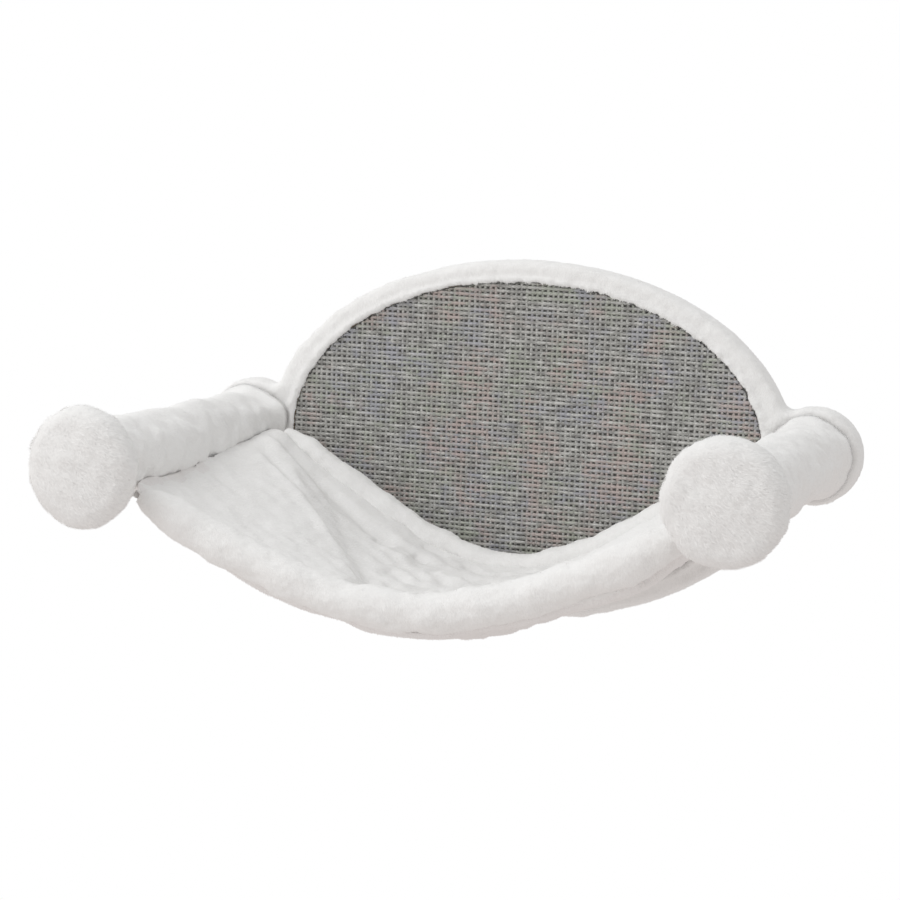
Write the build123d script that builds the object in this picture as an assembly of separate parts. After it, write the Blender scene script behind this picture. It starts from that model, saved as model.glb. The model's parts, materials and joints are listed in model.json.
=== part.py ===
"""A cat hammock for a wall: an oval scratching board, two posts and a padded sling between them.

Millimetres. +X is to the right seen from the room, +Y goes into the wall and +Z is up. The origin
lies on the wall, half way between the two posts' axes. Every length below is a real size.
"""

from build123d import *
from math import atan2, cos, degrees, hypot, pi, radians, sin
import os

# Main layout
REACH = 330.0
SLIDE = 2.0
REST_GAP = 0.3

# Board, with its plush cover and the ears that stand out at its two ends
BOARD_WIDTH = 408.0
BOARD_HEIGHT = 266.0
BOARD_THICKNESS = 12.0
EAR_STAND = 22.0
EAR_MARGIN = 6.4
EAR_BLEND = 14.0
COVER_THICKNESS = 6.0
COVER_BACK = 2.0
COVER_RISE = 8.0
COVER_BLEND = 8.0
COVER_FRONT_ROUND = 6.5
COVER_BACK_ROUND = 3.5
COVER_WINDOW_ROUND = 2.5
FLANGE_WIDTH = 18.0
FOAM_WIDTH = 9.0
FOAM_THICKNESS = 3.5
OVERRUN = 5.0
TOLERANCE = 0.01

# Scratching mat, with the plush border that the board keeps beside it and above it
BORDER_BESIDE = 15.0
BORDER_ABOVE = 11.0
MAT_THICKNESS = 5.5

# Staples that hold the cover to the back of the board
STAPLE_CROWN = 10.0
STAPLE_WIRE = 0.7
STAPLE_BAND = 1.4
STAPLE_LEG = 7.0
STAPLE_SINK = 0.2
STAPLE_INSET = 9.0
STAPLES_ROUND_OVAL = 24
STAPLES_ROUND_EAR = 4
STAPLE_FREE_ANGLE = 11.0
EAR_STAPLE_ANGLE = 135.0

# Keyhole hangers, whose entries lie this far below the board's top
HANGER_SPACING = 200.0
HANGER_BELOW_TOP = 81.0
HANGER_LENGTH = 52.0
HANGER_WIDTH = 20.0
HANGER_THICKNESS = 1.5
HANGER_CORNER = 4.0
KEYHOLE_RADIUS = 5.0
KEYHOLE_NECK_RADIUS = 2.3
KEYHOLE_RISE = 11.0
KEYHOLE_POCKET_RADIUS = 6.5
KEYHOLE_POCKET_DEPTH = 6.0
HANGER_SCREW_SPACING = 40.0
HANGER_SCREW_RADIUS = 1.5
HANGER_SCREW_HEAD_RADIUS = 3.0
HANGER_SCREW_LENGTH = 9.0
SCREW_CROSS_WIDTH = 0.8
SCREW_CROSS_LENGTH = 3.2
SCREW_CROSS_DEPTH = 0.9

# Posts
TUBE_RADIUS = 25.0
TUBE_WALL = 3.0
PLUG_LENGTH = 25.0
GLUE_LINE = 0.05
POST_SEAT_CLEARANCE = 0.15

# Threaded inserts, bolts and studs
THREAD_RADIUS = 4.0
THREAD_CLEARANCE = 0.05
INSERT_RADIUS = 5.5
INSERT_LENGTH = 20.0
INSERT_FLANGE_RADIUS = 8.0
INSERT_FLANGE = 1.2
BOLT_HEAD_RADIUS = 8.5
BOLT_HEAD = 2.8
BOLT_GRIP = 16.0
BOLT_KEY_FLATS = 5.0
BOLT_KEY_DEPTH = 2.0
BOLT_HOLE_RADIUS = 4.3
BOLT_RECESS_RADIUS = 11.5
BOLT_RECESS_DEPTH = 5.0
WASHER_RADIUS = 10.5
WASHER_THICKNESS = 1.6

# Padded end discs
DISC_RADIUS = 44.0
DISC_DEPTH = 32.0
DISC_CROWN = 3.0
DISC_PLUSH = 3.0
DISC_CORE_RADIUS = 29.0
DISC_CORE_THICKNESS = 12.0
DISC_MOUTH_RADIUS = 12.0
PADDING_GAP = 0.2
STUD_FLANGE_RADIUS = 11.0
STUD_FLANGE = 1.6
STUD_REACH = 14.0

# Sleeves round the posts
SLEEVE_WALL = 2.7
SLEEVE_END_GAP = 0.3

# Padded hems of the sling: how low they hang, how far they rise, how wide the low part is as a
# share of half their length, and how far short of the posts' axes they end. The front one lies
# this far behind the discs, and the rear one this far in front of the board's cover.
FRONT_HEM_RADIUS = 14.5
FRONT_HEM_SETBACK = 4.0
FRONT_HEM_LOW = 91.0
FRONT_HEM_RISE = 72.0
FRONT_HEM_SPREAD_SHARE = 0.603
FRONT_HEM_SHORT = 27.0
REAR_HEM_RADIUS = 12.0
REAR_HEM_SETBACK = 3.0
REAR_HEM_LOW = 97.0
REAR_HEM_RISE = 60.6
REAR_HEM_SPREAD_SHARE = 0.4233
REAR_HEM_SHORT = 37.0
HEM_WALL = 3.0
HEM_FILL_GAP = 0.2
HEM_STATION_SHARES = (-1, -0.93, -0.82, -0.6, -0.38, -0.18, 0, 0.18, 0.38, 0.6, 0.82, 0.93, 1)
HEM_RADIUS_SHARES = (0.4, 0.8, 1, 1, 1, 1, 1, 1, 1, 1, 1, 0.8, 0.4)

# Layers of the sling between the hems, and how far short of the posts' axes they end
SLING_SHORT = 20.0
SLING_PLUSH = 4.0
SLING_WADDING = 13.0
SLING_LINING = 3.5
SLING_LAYER_GAP = 0.4
SLING_TAPER = 40.0
SLING_EDGE_SHARE = 0.4
WADDING_SHORT = 34.0
FRONT_SEAT = 2.0
REAR_SEAT = 5.0
SLING_SAG = 7.0
RIDGE_RISE = 7.0
TROUGH_DROP = 7.0

# Stations of the sling from its rear hem to its front hem, and its folds at each of them
STATION_SHARES = (0, 0.13, 0.27, 0.42, 0.6, 0.8, 1)
RIDGE_PLACE_SHARES = (0.88, 0.83, 0.73, 0.59, 0.43, 0.31, 0.21)
TROUGH_PLACE_SHARES = (0.80, 0.71, 0.58, 0.45, 0.31, 0.21, 0.13)
RIDGE_HEIGHT_SHARES = (0, 0.35, 0.75, 1, 1, 0.7, 0.1)
TROUGH_DEPTH_SHARES = (0, 0.6, 1, 1, 0.9, 0.6, 0.1)
EDGE_DROP_SHARES = (0.12, 0.15, 0.2, 0.35, 0.8, 0.95, 1)
EDGE_DROP = 15.0

# Places and sizes that follow from the sizes above
POST_X = BOARD_WIDTH / 2 + EAR_STAND
EAR_RADIUS = TUBE_RADIUS + EAR_MARGIN
BOARD_BACK = COVER_BACK
BOARD_FRONT = BOARD_BACK + BOARD_THICKNESS
MAT_WIDTH = BOARD_WIDTH - 2 * BORDER_BESIDE
MAT_HEIGHT = BOARD_HEIGHT - 2 * BORDER_ABOVE
MAT_FRONT = BOARD_FRONT + MAT_THICKNESS
COVER_FRONT = BOARD_FRONT + COVER_RISE
HANGER_UP = BOARD_HEIGHT / 2 - HANGER_BELOW_TOP
DISC_BACK = REACH - DISC_DEPTH
POST_FRONT = DISC_BACK - REST_GAP
SLEEVE_BORE = TUBE_RADIUS + REST_GAP
SLEEVE_RADIUS = SLEEVE_BORE + SLEEVE_WALL
SLEEVE_BACK = COVER_FRONT + SLIDE + SLEEVE_END_GAP
SLEEVE_FRONT = DISC_BACK - SLIDE - SLEEVE_END_GAP
PLUG_RADIUS = TUBE_RADIUS - TUBE_WALL - GLUE_LINE
FRONT_HEM_BACK = DISC_BACK - FRONT_HEM_SETBACK - FRONT_HEM_RADIUS
FRONT_HEM_HALF = POST_X - FRONT_HEM_SHORT
FRONT_HEM_SPREAD = FRONT_HEM_SPREAD_SHARE * FRONT_HEM_HALF
REAR_HEM_BACK = COVER_FRONT + REAR_HEM_SETBACK + REAR_HEM_RADIUS
REAR_HEM_HALF = POST_X - REAR_HEM_SHORT
REAR_HEM_SPREAD = REAR_HEM_SPREAD_SHARE * REAR_HEM_HALF
SLING_HALF = POST_X - SLING_SHORT
WADDING_HALF = POST_X - WADDING_SHORT
SIDES = {"left": -1, "right": 1}


def upright(out, x=0.0, z=0.0):
    """Returns a plane parallel to the wall, its distance out from the wall, facing the room."""
    return Plane(origin=(x, -out, z), x_dir=(1, 0, 0), z_dir=(0, -1, 0))


def rod(radius, start, end, x=0.0, z=0.0):
    """Returns a round bar that runs straight out from the wall, from one distance to another."""
    return extrude(upright(start, x, z) * Circle(radius), amount=end - start)


def pipe(radius, bore, start, end, x=0.0, z=0.0):
    """Returns a round bar like rod with a round hole all the way through."""
    return rod(radius, start, end, x, z) - rod(bore, start, end, x, z)


def oval(width, height, start, end):
    """Returns a flat oval of this width and height between two distances from the wall."""
    return extrude(upright(start) * Ellipse(width / 2, height / 2), amount=end - start)


def board_blank(margin, blend, start, end):
    """Returns the board's outline, grown by a margin, with its two ears blended into the oval."""
    blank = oval(BOARD_WIDTH + 2 * margin, BOARD_HEIGHT + 2 * margin, start, end)
    for side in SIDES.values():
        blank += rod(EAR_RADIUS + margin, start, end, side * POST_X)
    corners = [
        edge
        for edge in blank.edges()
        if abs(edge.length - (end - start)) < TOLERANCE and abs(edge.tangent_at(0).Y) > 1 - TOLERANCE
    ]
    return fillet(corners, blend)


def keyhole(radius, neck, start, end, x):
    """Returns the bar that cuts one keyhole: its entry and the neck above it."""
    entry = rod(radius, start, end, x, HANGER_UP)
    top = rod(neck, start, end, x, HANGER_UP + KEYHOLE_RISE)
    slot = extrude(
        upright(start, x, HANGER_UP + KEYHOLE_RISE / 2) * Rectangle(2 * neck, KEYHOLE_RISE),
        amount=end - start,
    )
    return entry + top + slot


def hanger_places():
    """Returns the X place of each hanger."""
    return [side * HANGER_SPACING / 2 for side in SIDES.values()]


def hanger_screw_places():
    """Returns the X and Z places of all the hangers' screws."""
    middle = HANGER_UP + KEYHOLE_RISE / 2
    step = HANGER_SCREW_SPACING / 2
    return [(x, middle + way * step) for x in hanger_places() for way in (-1, 1)]


def hanger_screw(x, z, gap=0.0):
    """Returns a countersunk screw whose head lies flush with the hanger, grown by a gap."""
    face = BOARD_BACK - HANGER_THICKNESS
    head = HANGER_SCREW_HEAD_RADIUS - HANGER_SCREW_RADIUS
    cone = Cone(HANGER_SCREW_HEAD_RADIUS + gap, HANGER_SCREW_RADIUS + gap, head)
    cone = upright(face + head / 2, x, z) * cone
    return cone + rod(HANGER_SCREW_RADIUS + gap, face, face + HANGER_SCREW_LENGTH + gap, x, z)


def make_back_board():
    """Returns the fibreboard, with bolt recesses, screw holes and pockets for the wall screws."""
    board = board_blank(0.0, EAR_BLEND, BOARD_BACK, BOARD_FRONT)
    for side in SIDES.values():
        board -= rod(BOLT_RECESS_RADIUS, BOARD_BACK, BOARD_BACK + BOLT_RECESS_DEPTH, side * POST_X)
        board -= rod(BOLT_HOLE_RADIUS, BOARD_BACK, BOARD_FRONT, side * POST_X)
    pocket_end = BOARD_BACK + KEYHOLE_POCKET_DEPTH
    for x in hanger_places():
        board -= keyhole(KEYHOLE_POCKET_RADIUS, KEYHOLE_POCKET_RADIUS, BOARD_BACK, pocket_end, x)
    for x, z in hanger_screw_places():
        board -= hanger_screw(x, z, THREAD_CLEARANCE)
    return board


def foam_ring(gap=0.0):
    """Returns the foam strip under the cover's raised border, grown by a gap."""
    out = BOARD_FRONT + FOAM_THICKNESS
    width = BOARD_WIDTH + 2 * gap
    height = BOARD_HEIGHT + 2 * gap
    inner = 2 * (FOAM_WIDTH + 2 * gap)
    ring = oval(width, height, BOARD_FRONT, out) - oval(width - inner, height - inner, BOARD_FRONT, out)
    for side in SIDES.values():
        ring -= rod(TUBE_RADIUS + COVER_BACK, BOARD_FRONT, out, side * POST_X)
    return ring


def make_board_cover():
    """Returns the plush cover: a raised border in front, the rim and a flange turned over the back."""
    cover = board_blank(COVER_THICKNESS, COVER_BLEND, 0.0, COVER_FRONT)
    front = cover.edges().filter_by_position(Axis.Y, -COVER_FRONT, -COVER_FRONT)
    cover = fillet(front, COVER_FRONT_ROUND)
    back = cover.edges().filter_by_position(Axis.Y, 0.0, 0.0)
    cover = fillet(back, COVER_BACK_ROUND)
    window = oval(
        MAT_WIDTH + 2 * REST_GAP, MAT_HEIGHT + 2 * REST_GAP, BOARD_FRONT, COVER_FRONT + OVERRUN
    )
    cover -= window
    face_edges = cover.edges().filter_by_position(Axis.Y, -COVER_FRONT, -COVER_FRONT)
    cover = fillet(face_edges.sort_by(SortBy.LENGTH)[-1], COVER_WINDOW_ROUND)
    cover -= board_blank(0.0, EAR_BLEND, BOARD_BACK, BOARD_FRONT)
    cover -= oval(
        BOARD_WIDTH - 2 * FLANGE_WIDTH, BOARD_HEIGHT - 2 * FLANGE_WIDTH, -OVERRUN, BOARD_BACK
    )
    for side in SIDES.values():
        x = side * POST_X
        cover -= rod(EAR_RADIUS - FLANGE_WIDTH, -OVERRUN, BOARD_BACK, x)
        cover -= rod(TUBE_RADIUS + POST_SEAT_CLEARANCE, BOARD_FRONT, COVER_FRONT + OVERRUN, x)
    return cover - foam_ring()


def staple(x, z, turn):
    """Returns one staple, its crown pressed just under the flange's face and its legs in the board."""
    place = upright(STAPLE_SINK, x, z) * Rot(0, 0, turn)
    crown = Box(STAPLE_CROWN, STAPLE_BAND, STAPLE_WIRE, align=(Align.CENTER, Align.CENTER, Align.MIN))
    legs = [
        Pos(way * (STAPLE_CROWN - STAPLE_WIRE) / 2, 0, 0)
        * Box(STAPLE_WIRE, STAPLE_BAND, STAPLE_LEG, align=(Align.CENTER, Align.CENTER, Align.MIN))
        for way in (-1, 1)
    ]
    return place * (crown + legs)


def make_cover_staples():
    """Returns all the staples, evenly spaced round the oval and round each ear."""
    half_width = BOARD_WIDTH / 2 - STAPLE_INSET
    half_height = BOARD_HEIGHT / 2 - STAPLE_INSET
    staples = []
    for number in range(STAPLES_ROUND_OVAL):
        angle = 2 * pi * (number + 1 / 2) / STAPLES_ROUND_OVAL
        x = half_width * cos(angle)
        z = half_height * sin(angle)
        turn = degrees(atan2(half_height * cos(angle), -half_width * sin(angle)))
        if min(angle % pi, pi - angle % pi) > radians(STAPLE_FREE_ANGLE):
            staples.append(staple(x, z, turn))
    ring = EAR_RADIUS - STAPLE_INSET
    for side in SIDES.values():
        for number in range(STAPLES_ROUND_EAR):
            share = number / (STAPLES_ROUND_EAR - 1) * 2 - 1
            angle = radians(share * EAR_STAPLE_ANGLE / 2)
            x = side * (POST_X + ring * cos(angle))
            staples.append(staple(x, ring * sin(angle), degrees(side * angle) + 90))
    return Compound(children=staples)


def make_hanger(x):
    """Returns one steel keyhole plate on the back of the board."""
    middle = HANGER_UP + KEYHOLE_RISE / 2
    outline = RectangleRounded(HANGER_WIDTH, HANGER_LENGTH, HANGER_CORNER)
    start = BOARD_BACK - HANGER_THICKNESS
    plate = extrude(upright(start, x, middle) * outline, amount=HANGER_THICKNESS)
    plate -= keyhole(KEYHOLE_RADIUS, KEYHOLE_NECK_RADIUS, start, BOARD_BACK, x)
    for screw_x, screw_z in hanger_screw_places():
        if abs(screw_x - x) < HANGER_WIDTH:
            plate -= hanger_screw(screw_x, screw_z, THREAD_CLEARANCE)
    return plate


def make_hanger_screws():
    """Returns the four countersunk screws of the two hangers, each with its cross slot."""
    face = BOARD_BACK - HANGER_THICKNESS
    screws = []
    for x, z in hanger_screw_places():
        screw = hanger_screw(x, z)
        for size in ((SCREW_CROSS_LENGTH, SCREW_CROSS_WIDTH), (SCREW_CROSS_WIDTH, SCREW_CROSS_LENGTH)):
            screw -= extrude(upright(face, x, z) * Rectangle(*size), amount=SCREW_CROSS_DEPTH)
        screws.append(screw)
    return Compound(children=screws)


def make_insert(mouth, way, x):
    """Returns a flanged threaded insert whose mouth faces the wall or, with way -1, the room."""
    flange_end = mouth + way * INSERT_FLANGE
    end = mouth + way * INSERT_LENGTH
    body = rod(INSERT_FLANGE_RADIUS, *sorted((mouth, flange_end)), x)
    body += rod(INSERT_RADIUS, *sorted((mouth, end)), x)
    return body - rod(THREAD_RADIUS + THREAD_CLEARANCE, *sorted((mouth, end)), x)


def make_plug(mouth, way, x):
    """Returns a wooden plug for one end of a post, bored for its insert."""
    end = mouth + way * PLUG_LENGTH
    hole_end = mouth + way * (INSERT_LENGTH + REST_GAP)
    plug = rod(PLUG_RADIUS, *sorted((mouth, end)), x)
    plug -= rod(INSERT_RADIUS + GLUE_LINE, *sorted((mouth, hole_end)), x)
    return plug - rod(INSERT_FLANGE_RADIUS + GLUE_LINE, *sorted((mouth, mouth + way * INSERT_FLANGE)), x)


def make_post_bolt(x):
    """Returns the bolt that holds a post to the board, with its key socket."""
    head_end = BOARD_BACK + BOLT_RECESS_DEPTH - WASHER_THICKNESS
    head_start = head_end - BOLT_HEAD
    bolt = rod(BOLT_HEAD_RADIUS, head_start, head_end, x)
    bolt += rod(THREAD_RADIUS, head_start, BOARD_FRONT + BOLT_GRIP, x)
    socket = RegularPolygon(BOLT_KEY_FLATS / 2, 6, major_radius=False)
    return bolt - extrude(upright(head_start, x) * socket, amount=BOLT_KEY_DEPTH)


def make_washer(x):
    """Returns the washer under a post bolt's head."""
    end = BOARD_BACK + BOLT_RECESS_DEPTH
    return pipe(WASHER_RADIUS, BOLT_HOLE_RADIUS, end - WASHER_THICKNESS, end, x)


def pillow(radius, depth, crown, start, x):
    """Returns a round pillow: flat at the back, a full rounded rim and a crowned front."""
    rim = (depth - crown) / 2
    flat = radius - rim
    bend = rim * cos(pi / 4)
    back = (flat, 0)
    side = (radius, rim)
    front = (flat, 2 * rim)
    tip = (0, depth)
    dome = (flat**2 + crown**2) / (2 * crown)
    turn = atan2(flat, dome - crown) / 2
    outline = [
        Edge.make_line((0, 0), back),
        Edge.make_three_point_arc(back, (flat + bend, rim - bend), side),
        Edge.make_three_point_arc(side, (flat + bend, rim + bend), front),
        Edge.make_three_point_arc(front, (dome * sin(turn), depth - dome * (1 - cos(turn))), tip),
        Edge.make_line(tip, (0, 0)),
    ]
    return Pos(x, -start, 0) * Rot(180, 0, 0) * revolve(Face(Wire(outline)), Axis.Y)


def disc_cavity(gap, x):
    """Returns the space inside a disc's cover, drawn in by a gap."""
    skin = DISC_PLUSH + gap
    return pillow(DISC_RADIUS - skin, DISC_DEPTH - 2 * skin, DISC_CROWN, DISC_BACK + skin, x)


def make_disc_cover(x):
    """Returns the plush cover of an end disc, open round the stud at the back."""
    cover = pillow(DISC_RADIUS, DISC_DEPTH, DISC_CROWN, DISC_BACK, x) - disc_cavity(0.0, x)
    return cover - rod(DISC_MOUTH_RADIUS, DISC_BACK, DISC_BACK + DISC_PLUSH, x)


def make_disc_core(x):
    """Returns the fibreboard core of an end disc, bored for the stud."""
    start = DISC_BACK + DISC_PLUSH
    bore = THREAD_RADIUS + THREAD_CLEARANCE
    return pipe(DISC_CORE_RADIUS, bore, start, start + DISC_CORE_THICKNESS, x)


def make_disc_padding(x):
    """Returns the foam that rounds an end disc, fitted round its core and the stud's flange."""
    start = DISC_BACK + DISC_PLUSH
    core_end = start + DISC_CORE_THICKNESS
    flange_end = core_end + STUD_FLANGE + REST_GAP
    padding = disc_cavity(PADDING_GAP, x)
    padding -= rod(DISC_CORE_RADIUS + PADDING_GAP, start, core_end, x)
    return padding - rod(STUD_FLANGE_RADIUS + REST_GAP, start, flange_end, x)


def make_disc_stud(x):
    """Returns the flanged stud that screws an end disc to its post."""
    core_end = DISC_BACK + DISC_PLUSH + DISC_CORE_THICKNESS
    stud = rod(THREAD_RADIUS, POST_FRONT - STUD_REACH, core_end, x)
    return stud + rod(STUD_FLANGE_RADIUS, core_end, core_end + STUD_FLANGE, x)


def hem_height(x, low, rise, spread):
    """Returns the height of a hem's middle at a place across the sling."""
    return -low + rise * (hypot(1, x / spread) - 1)


def hem_slope(x, rise, spread):
    """Returns how steeply a hem climbs at a place across the sling."""
    return rise / spread * (x / spread) / hypot(1, x / spread)


def ring(plane, radius):
    """Returns a circle as four quarter arcs on a plane."""
    arcs = []
    for quarter in range(4):
        points = [
            plane.from_local_coords((radius * cos(turn), radius * sin(turn), 0))
            for turn in (pi / 2 * quarter, pi / 2 * (quarter + 1 / 2), pi / 2 * (quarter + 1))
        ]
        arcs.append(Edge.make_three_point_arc(*points))
    return Wire(arcs)


def hem(radius, out, half, low, rise, spread, inset=0.0, grow=0.0):
    """Returns a padded hem: a long roll that follows its hanging curve and narrows at both ends."""
    rings = []
    for place, size in zip(HEM_STATION_SHARES, HEM_RADIUS_SHARES):
        x = place * half
        slope = hem_slope(x, rise, spread)
        origin = (x, -out, hem_height(x, low, rise, spread))
        plane = Plane(origin=origin, x_dir=(0, 1, 0), z_dir=(1, 0, slope))
        rings.append(ring(plane, size * (radius - inset) + grow))
    return Solid.make_loft(rings)


def front_hem(inset=0.0, grow=0.0):
    """Returns the roll along the sling's front edge, drawn in or grown."""
    return hem(
        FRONT_HEM_RADIUS, FRONT_HEM_BACK, FRONT_HEM_HALF,
        FRONT_HEM_LOW, FRONT_HEM_RISE, FRONT_HEM_SPREAD, inset, grow,
    )


def rear_hem(inset=0.0, grow=0.0):
    """Returns the roll along the sling's rear edge, drawn in or grown."""
    return hem(
        REAR_HEM_RADIUS, REAR_HEM_BACK, REAR_HEM_HALF,
        REAR_HEM_LOW, REAR_HEM_RISE, REAR_HEM_SPREAD, inset, grow,
    )


def fold_height(place, number):
    """Returns how far a fold lifts the sling at a share of its half width at one station."""
    ridge = RIDGE_PLACE_SHARES[number]
    trough = TROUGH_PLACE_SHARES[number]
    rise = RIDGE_RISE * RIDGE_HEIGHT_SHARES[number]
    drop = TROUGH_DROP * TROUGH_DEPTH_SHARES[number]
    if place >= ridge:
        return rise * (1 - place) / (1 - ridge)
    if place >= trough:
        return (rise + drop) * (place - trough) / (ridge - trough) - drop
    return -drop * (place / trough) ** 2


def sling_height(x, number):
    """Returns the height of the sling's upper face at a place across it at one station."""
    share = STATION_SHARES[number]
    place = abs(x) / SLING_HALF
    rear = hem_height(x, REAR_HEM_LOW, REAR_HEM_RISE, REAR_HEM_SPREAD) + REAR_SEAT
    front = hem_height(x, FRONT_HEM_LOW, FRONT_HEM_RISE, FRONT_HEM_SPREAD) + FRONT_SEAT
    plain = rear * (1 - share) + front * share
    sag = 4 * SLING_SAG * share * (1 - share) * (1 - place**2)
    edge = -EDGE_DROP * EDGE_DROP_SHARES[number]
    pull = max(0.0, (place - RIDGE_PLACE_SHARES[0]) / (1 - RIDGE_PLACE_SHARES[0]))
    return (plain - sag + fold_height(place, number)) * (1 - pull) + edge * pull


def layer_depth(x, number, depth):
    """Returns a depth below the upper face, thinner towards the posts and square to the slope."""
    share = STATION_SHARES[number]
    steep = hem_slope(x, REAR_HEM_RISE, REAR_HEM_SPREAD) * (1 - share)
    steep += hem_slope(x, FRONT_HEM_RISE, FRONT_HEM_SPREAD) * share
    full = min(1.0, (SLING_HALF - abs(x)) / SLING_TAPER)
    return depth * hypot(1, steep) * (SLING_EDGE_SHARE + (1 - SLING_EDGE_SHARE) * full)


def sling_line(number, out, depth):
    """Returns the edges across the sling at one station, at a depth below its upper face."""
    ridge = RIDGE_PLACE_SHARES[number] * SLING_HALF
    trough = TROUGH_PLACE_SHARES[number] * SLING_HALF
    places = [SLING_HALF, ridge, trough, trough / 2]
    places = [-x for x in places] + places[::-1]

    def point(x):
        return Vector(x, -out, sling_height(x, number) - layer_depth(x, number, depth))

    edges = []
    for start, end in zip(places, places[1:]):
        if abs(abs(start) - ridge) + abs(abs(end) - trough) < TOLERANCE:
            edges.append(Edge.make_line(point(start), point(end)))
        elif abs(abs(start) - trough) + abs(abs(end) - ridge) < TOLERANCE:
            edges.append(Edge.make_line(point(start), point(end)))
        else:
            edges.append(Edge.make_three_point_arc(point(start), point((start + end) / 2), point(end)))
    return edges


def sling_layer(top, bottom, rear, front):
    """Returns one layer of the sling between two depths, from a rear to a front distance."""
    sections = []
    for number, share in enumerate(STATION_SHARES):
        out = rear + share * (front - rear)
        upper = sling_line(number, out, top)
        lower = sling_line(number, out, bottom)
        ends = [
            Edge.make_line(lower[0] @ 0, upper[0] @ 0),
            Edge.make_line(upper[-1] @ 1, lower[-1] @ 1),
        ]
        sections.append(Wire(upper + lower + ends))
    return Solid.make_loft(sections)


def clear_of_neighbours(layer):
    """Returns a layer cut back to just clear of both hems and of the sleeves."""
    layer -= front_hem(grow=REST_GAP)
    layer -= rear_hem(grow=REST_GAP)
    for side in SIDES.values():
        layer -= rod(SLEEVE_RADIUS + REST_GAP, 0.0, REACH, side * POST_X)
    return layer


def make_sling_layers():
    """Returns the sling's plush top, its wadding and its plush underside."""
    top_end = SLING_PLUSH
    wadding_start = top_end + SLING_LAYER_GAP
    wadding_end = wadding_start + SLING_WADDING
    lining_start = wadding_end + SLING_LAYER_GAP
    lining_end = lining_start + SLING_LINING
    top = sling_layer(0.0, top_end, REAR_HEM_BACK, FRONT_HEM_BACK)
    wadding = sling_layer(wadding_start, wadding_end, REAR_HEM_BACK, FRONT_HEM_BACK)
    lining = sling_layer(lining_start, lining_end, REAR_HEM_BACK, FRONT_HEM_BACK)
    room = Pos(0, -REACH / 2, 0) * Box(2 * WADDING_HALF, REACH, 2 * BOARD_HEIGHT)
    return clear_of_neighbours(top), clear_of_neighbours(wadding & room), clear_of_neighbours(lining)


def make_post(side):
    """Returns the pieces of one post by name: tube, plugs, inserts, bolt and washer."""
    x = side * POST_X
    return {
        "post_tube": pipe(TUBE_RADIUS, TUBE_RADIUS - TUBE_WALL, BOARD_FRONT, POST_FRONT, x),
        "post_rear_plug": make_plug(BOARD_FRONT, 1, x),
        "post_front_plug": make_plug(POST_FRONT, -1, x),
        "post_rear_insert": make_insert(BOARD_FRONT, 1, x),
        "post_front_insert": make_insert(POST_FRONT, -1, x),
        "post_bolt": make_post_bolt(x),
        "post_washer": make_washer(x),
    }


def make_disc(side):
    """Returns the pieces of one end disc by name."""
    x = side * POST_X
    return {
        "disc_cover": make_disc_cover(x),
        "disc_padding": make_disc_padding(x),
        "disc_core": make_disc_core(x),
        "disc_stud": make_disc_stud(x),
    }


def make_parts():
    """Returns every piece of the hammock by its name."""
    top, wadding, lining = make_sling_layers()
    parts = {
        "back_board": make_back_board(),
        "board_cover": make_board_cover(),
        "cover_foam": foam_ring(),
        "cover_staples": make_cover_staples(),
        "scratching_mat": oval(MAT_WIDTH, MAT_HEIGHT, BOARD_FRONT, MAT_FRONT),
        "hanger_screws": make_hanger_screws(),
        "sling_top": top,
        "sling_wadding": wadding,
        "sling_underside": lining,
        "front_hem": front_hem() - front_hem(inset=HEM_WALL),
        "front_hem_filling": front_hem(inset=HEM_WALL + HEM_FILL_GAP),
        "rear_hem": rear_hem() - rear_hem(inset=HEM_WALL),
        "rear_hem_filling": rear_hem(inset=HEM_WALL + HEM_FILL_GAP),
    }
    for name, side in SIDES.items():
        parts[f"{name}_hanger"] = make_hanger(side * HANGER_SPACING / 2)
        parts[f"{name}_sleeve"] = pipe(
            SLEEVE_RADIUS, SLEEVE_BORE, SLEEVE_BACK, SLEEVE_FRONT, side * POST_X
        )
        for piece, shape in {**make_post(side), **make_disc(side)}.items():
            parts[f"{name}_{piece}"] = shape
    return parts


os.makedirs("parts", exist_ok=True)
for part_name, part_shape in make_parts().items():
    export_step(part_shape, f"parts/{part_name}.step")
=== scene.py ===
"""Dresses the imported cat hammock: its plush skins and pile, its woven mat, its metal and board parts.

Metres. +X is to the right seen from the room, +Y goes into the wall and +Z is up.
"""

from __future__ import annotations

import json
import logging
import math
from contextlib import contextmanager
from dataclasses import dataclass, field
from enum import Enum
from typing import Callable, Iterable, Iterator, Sequence, Union

import bmesh
import bpy
import numpy as np
from mathutils import Matrix, Vector

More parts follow.
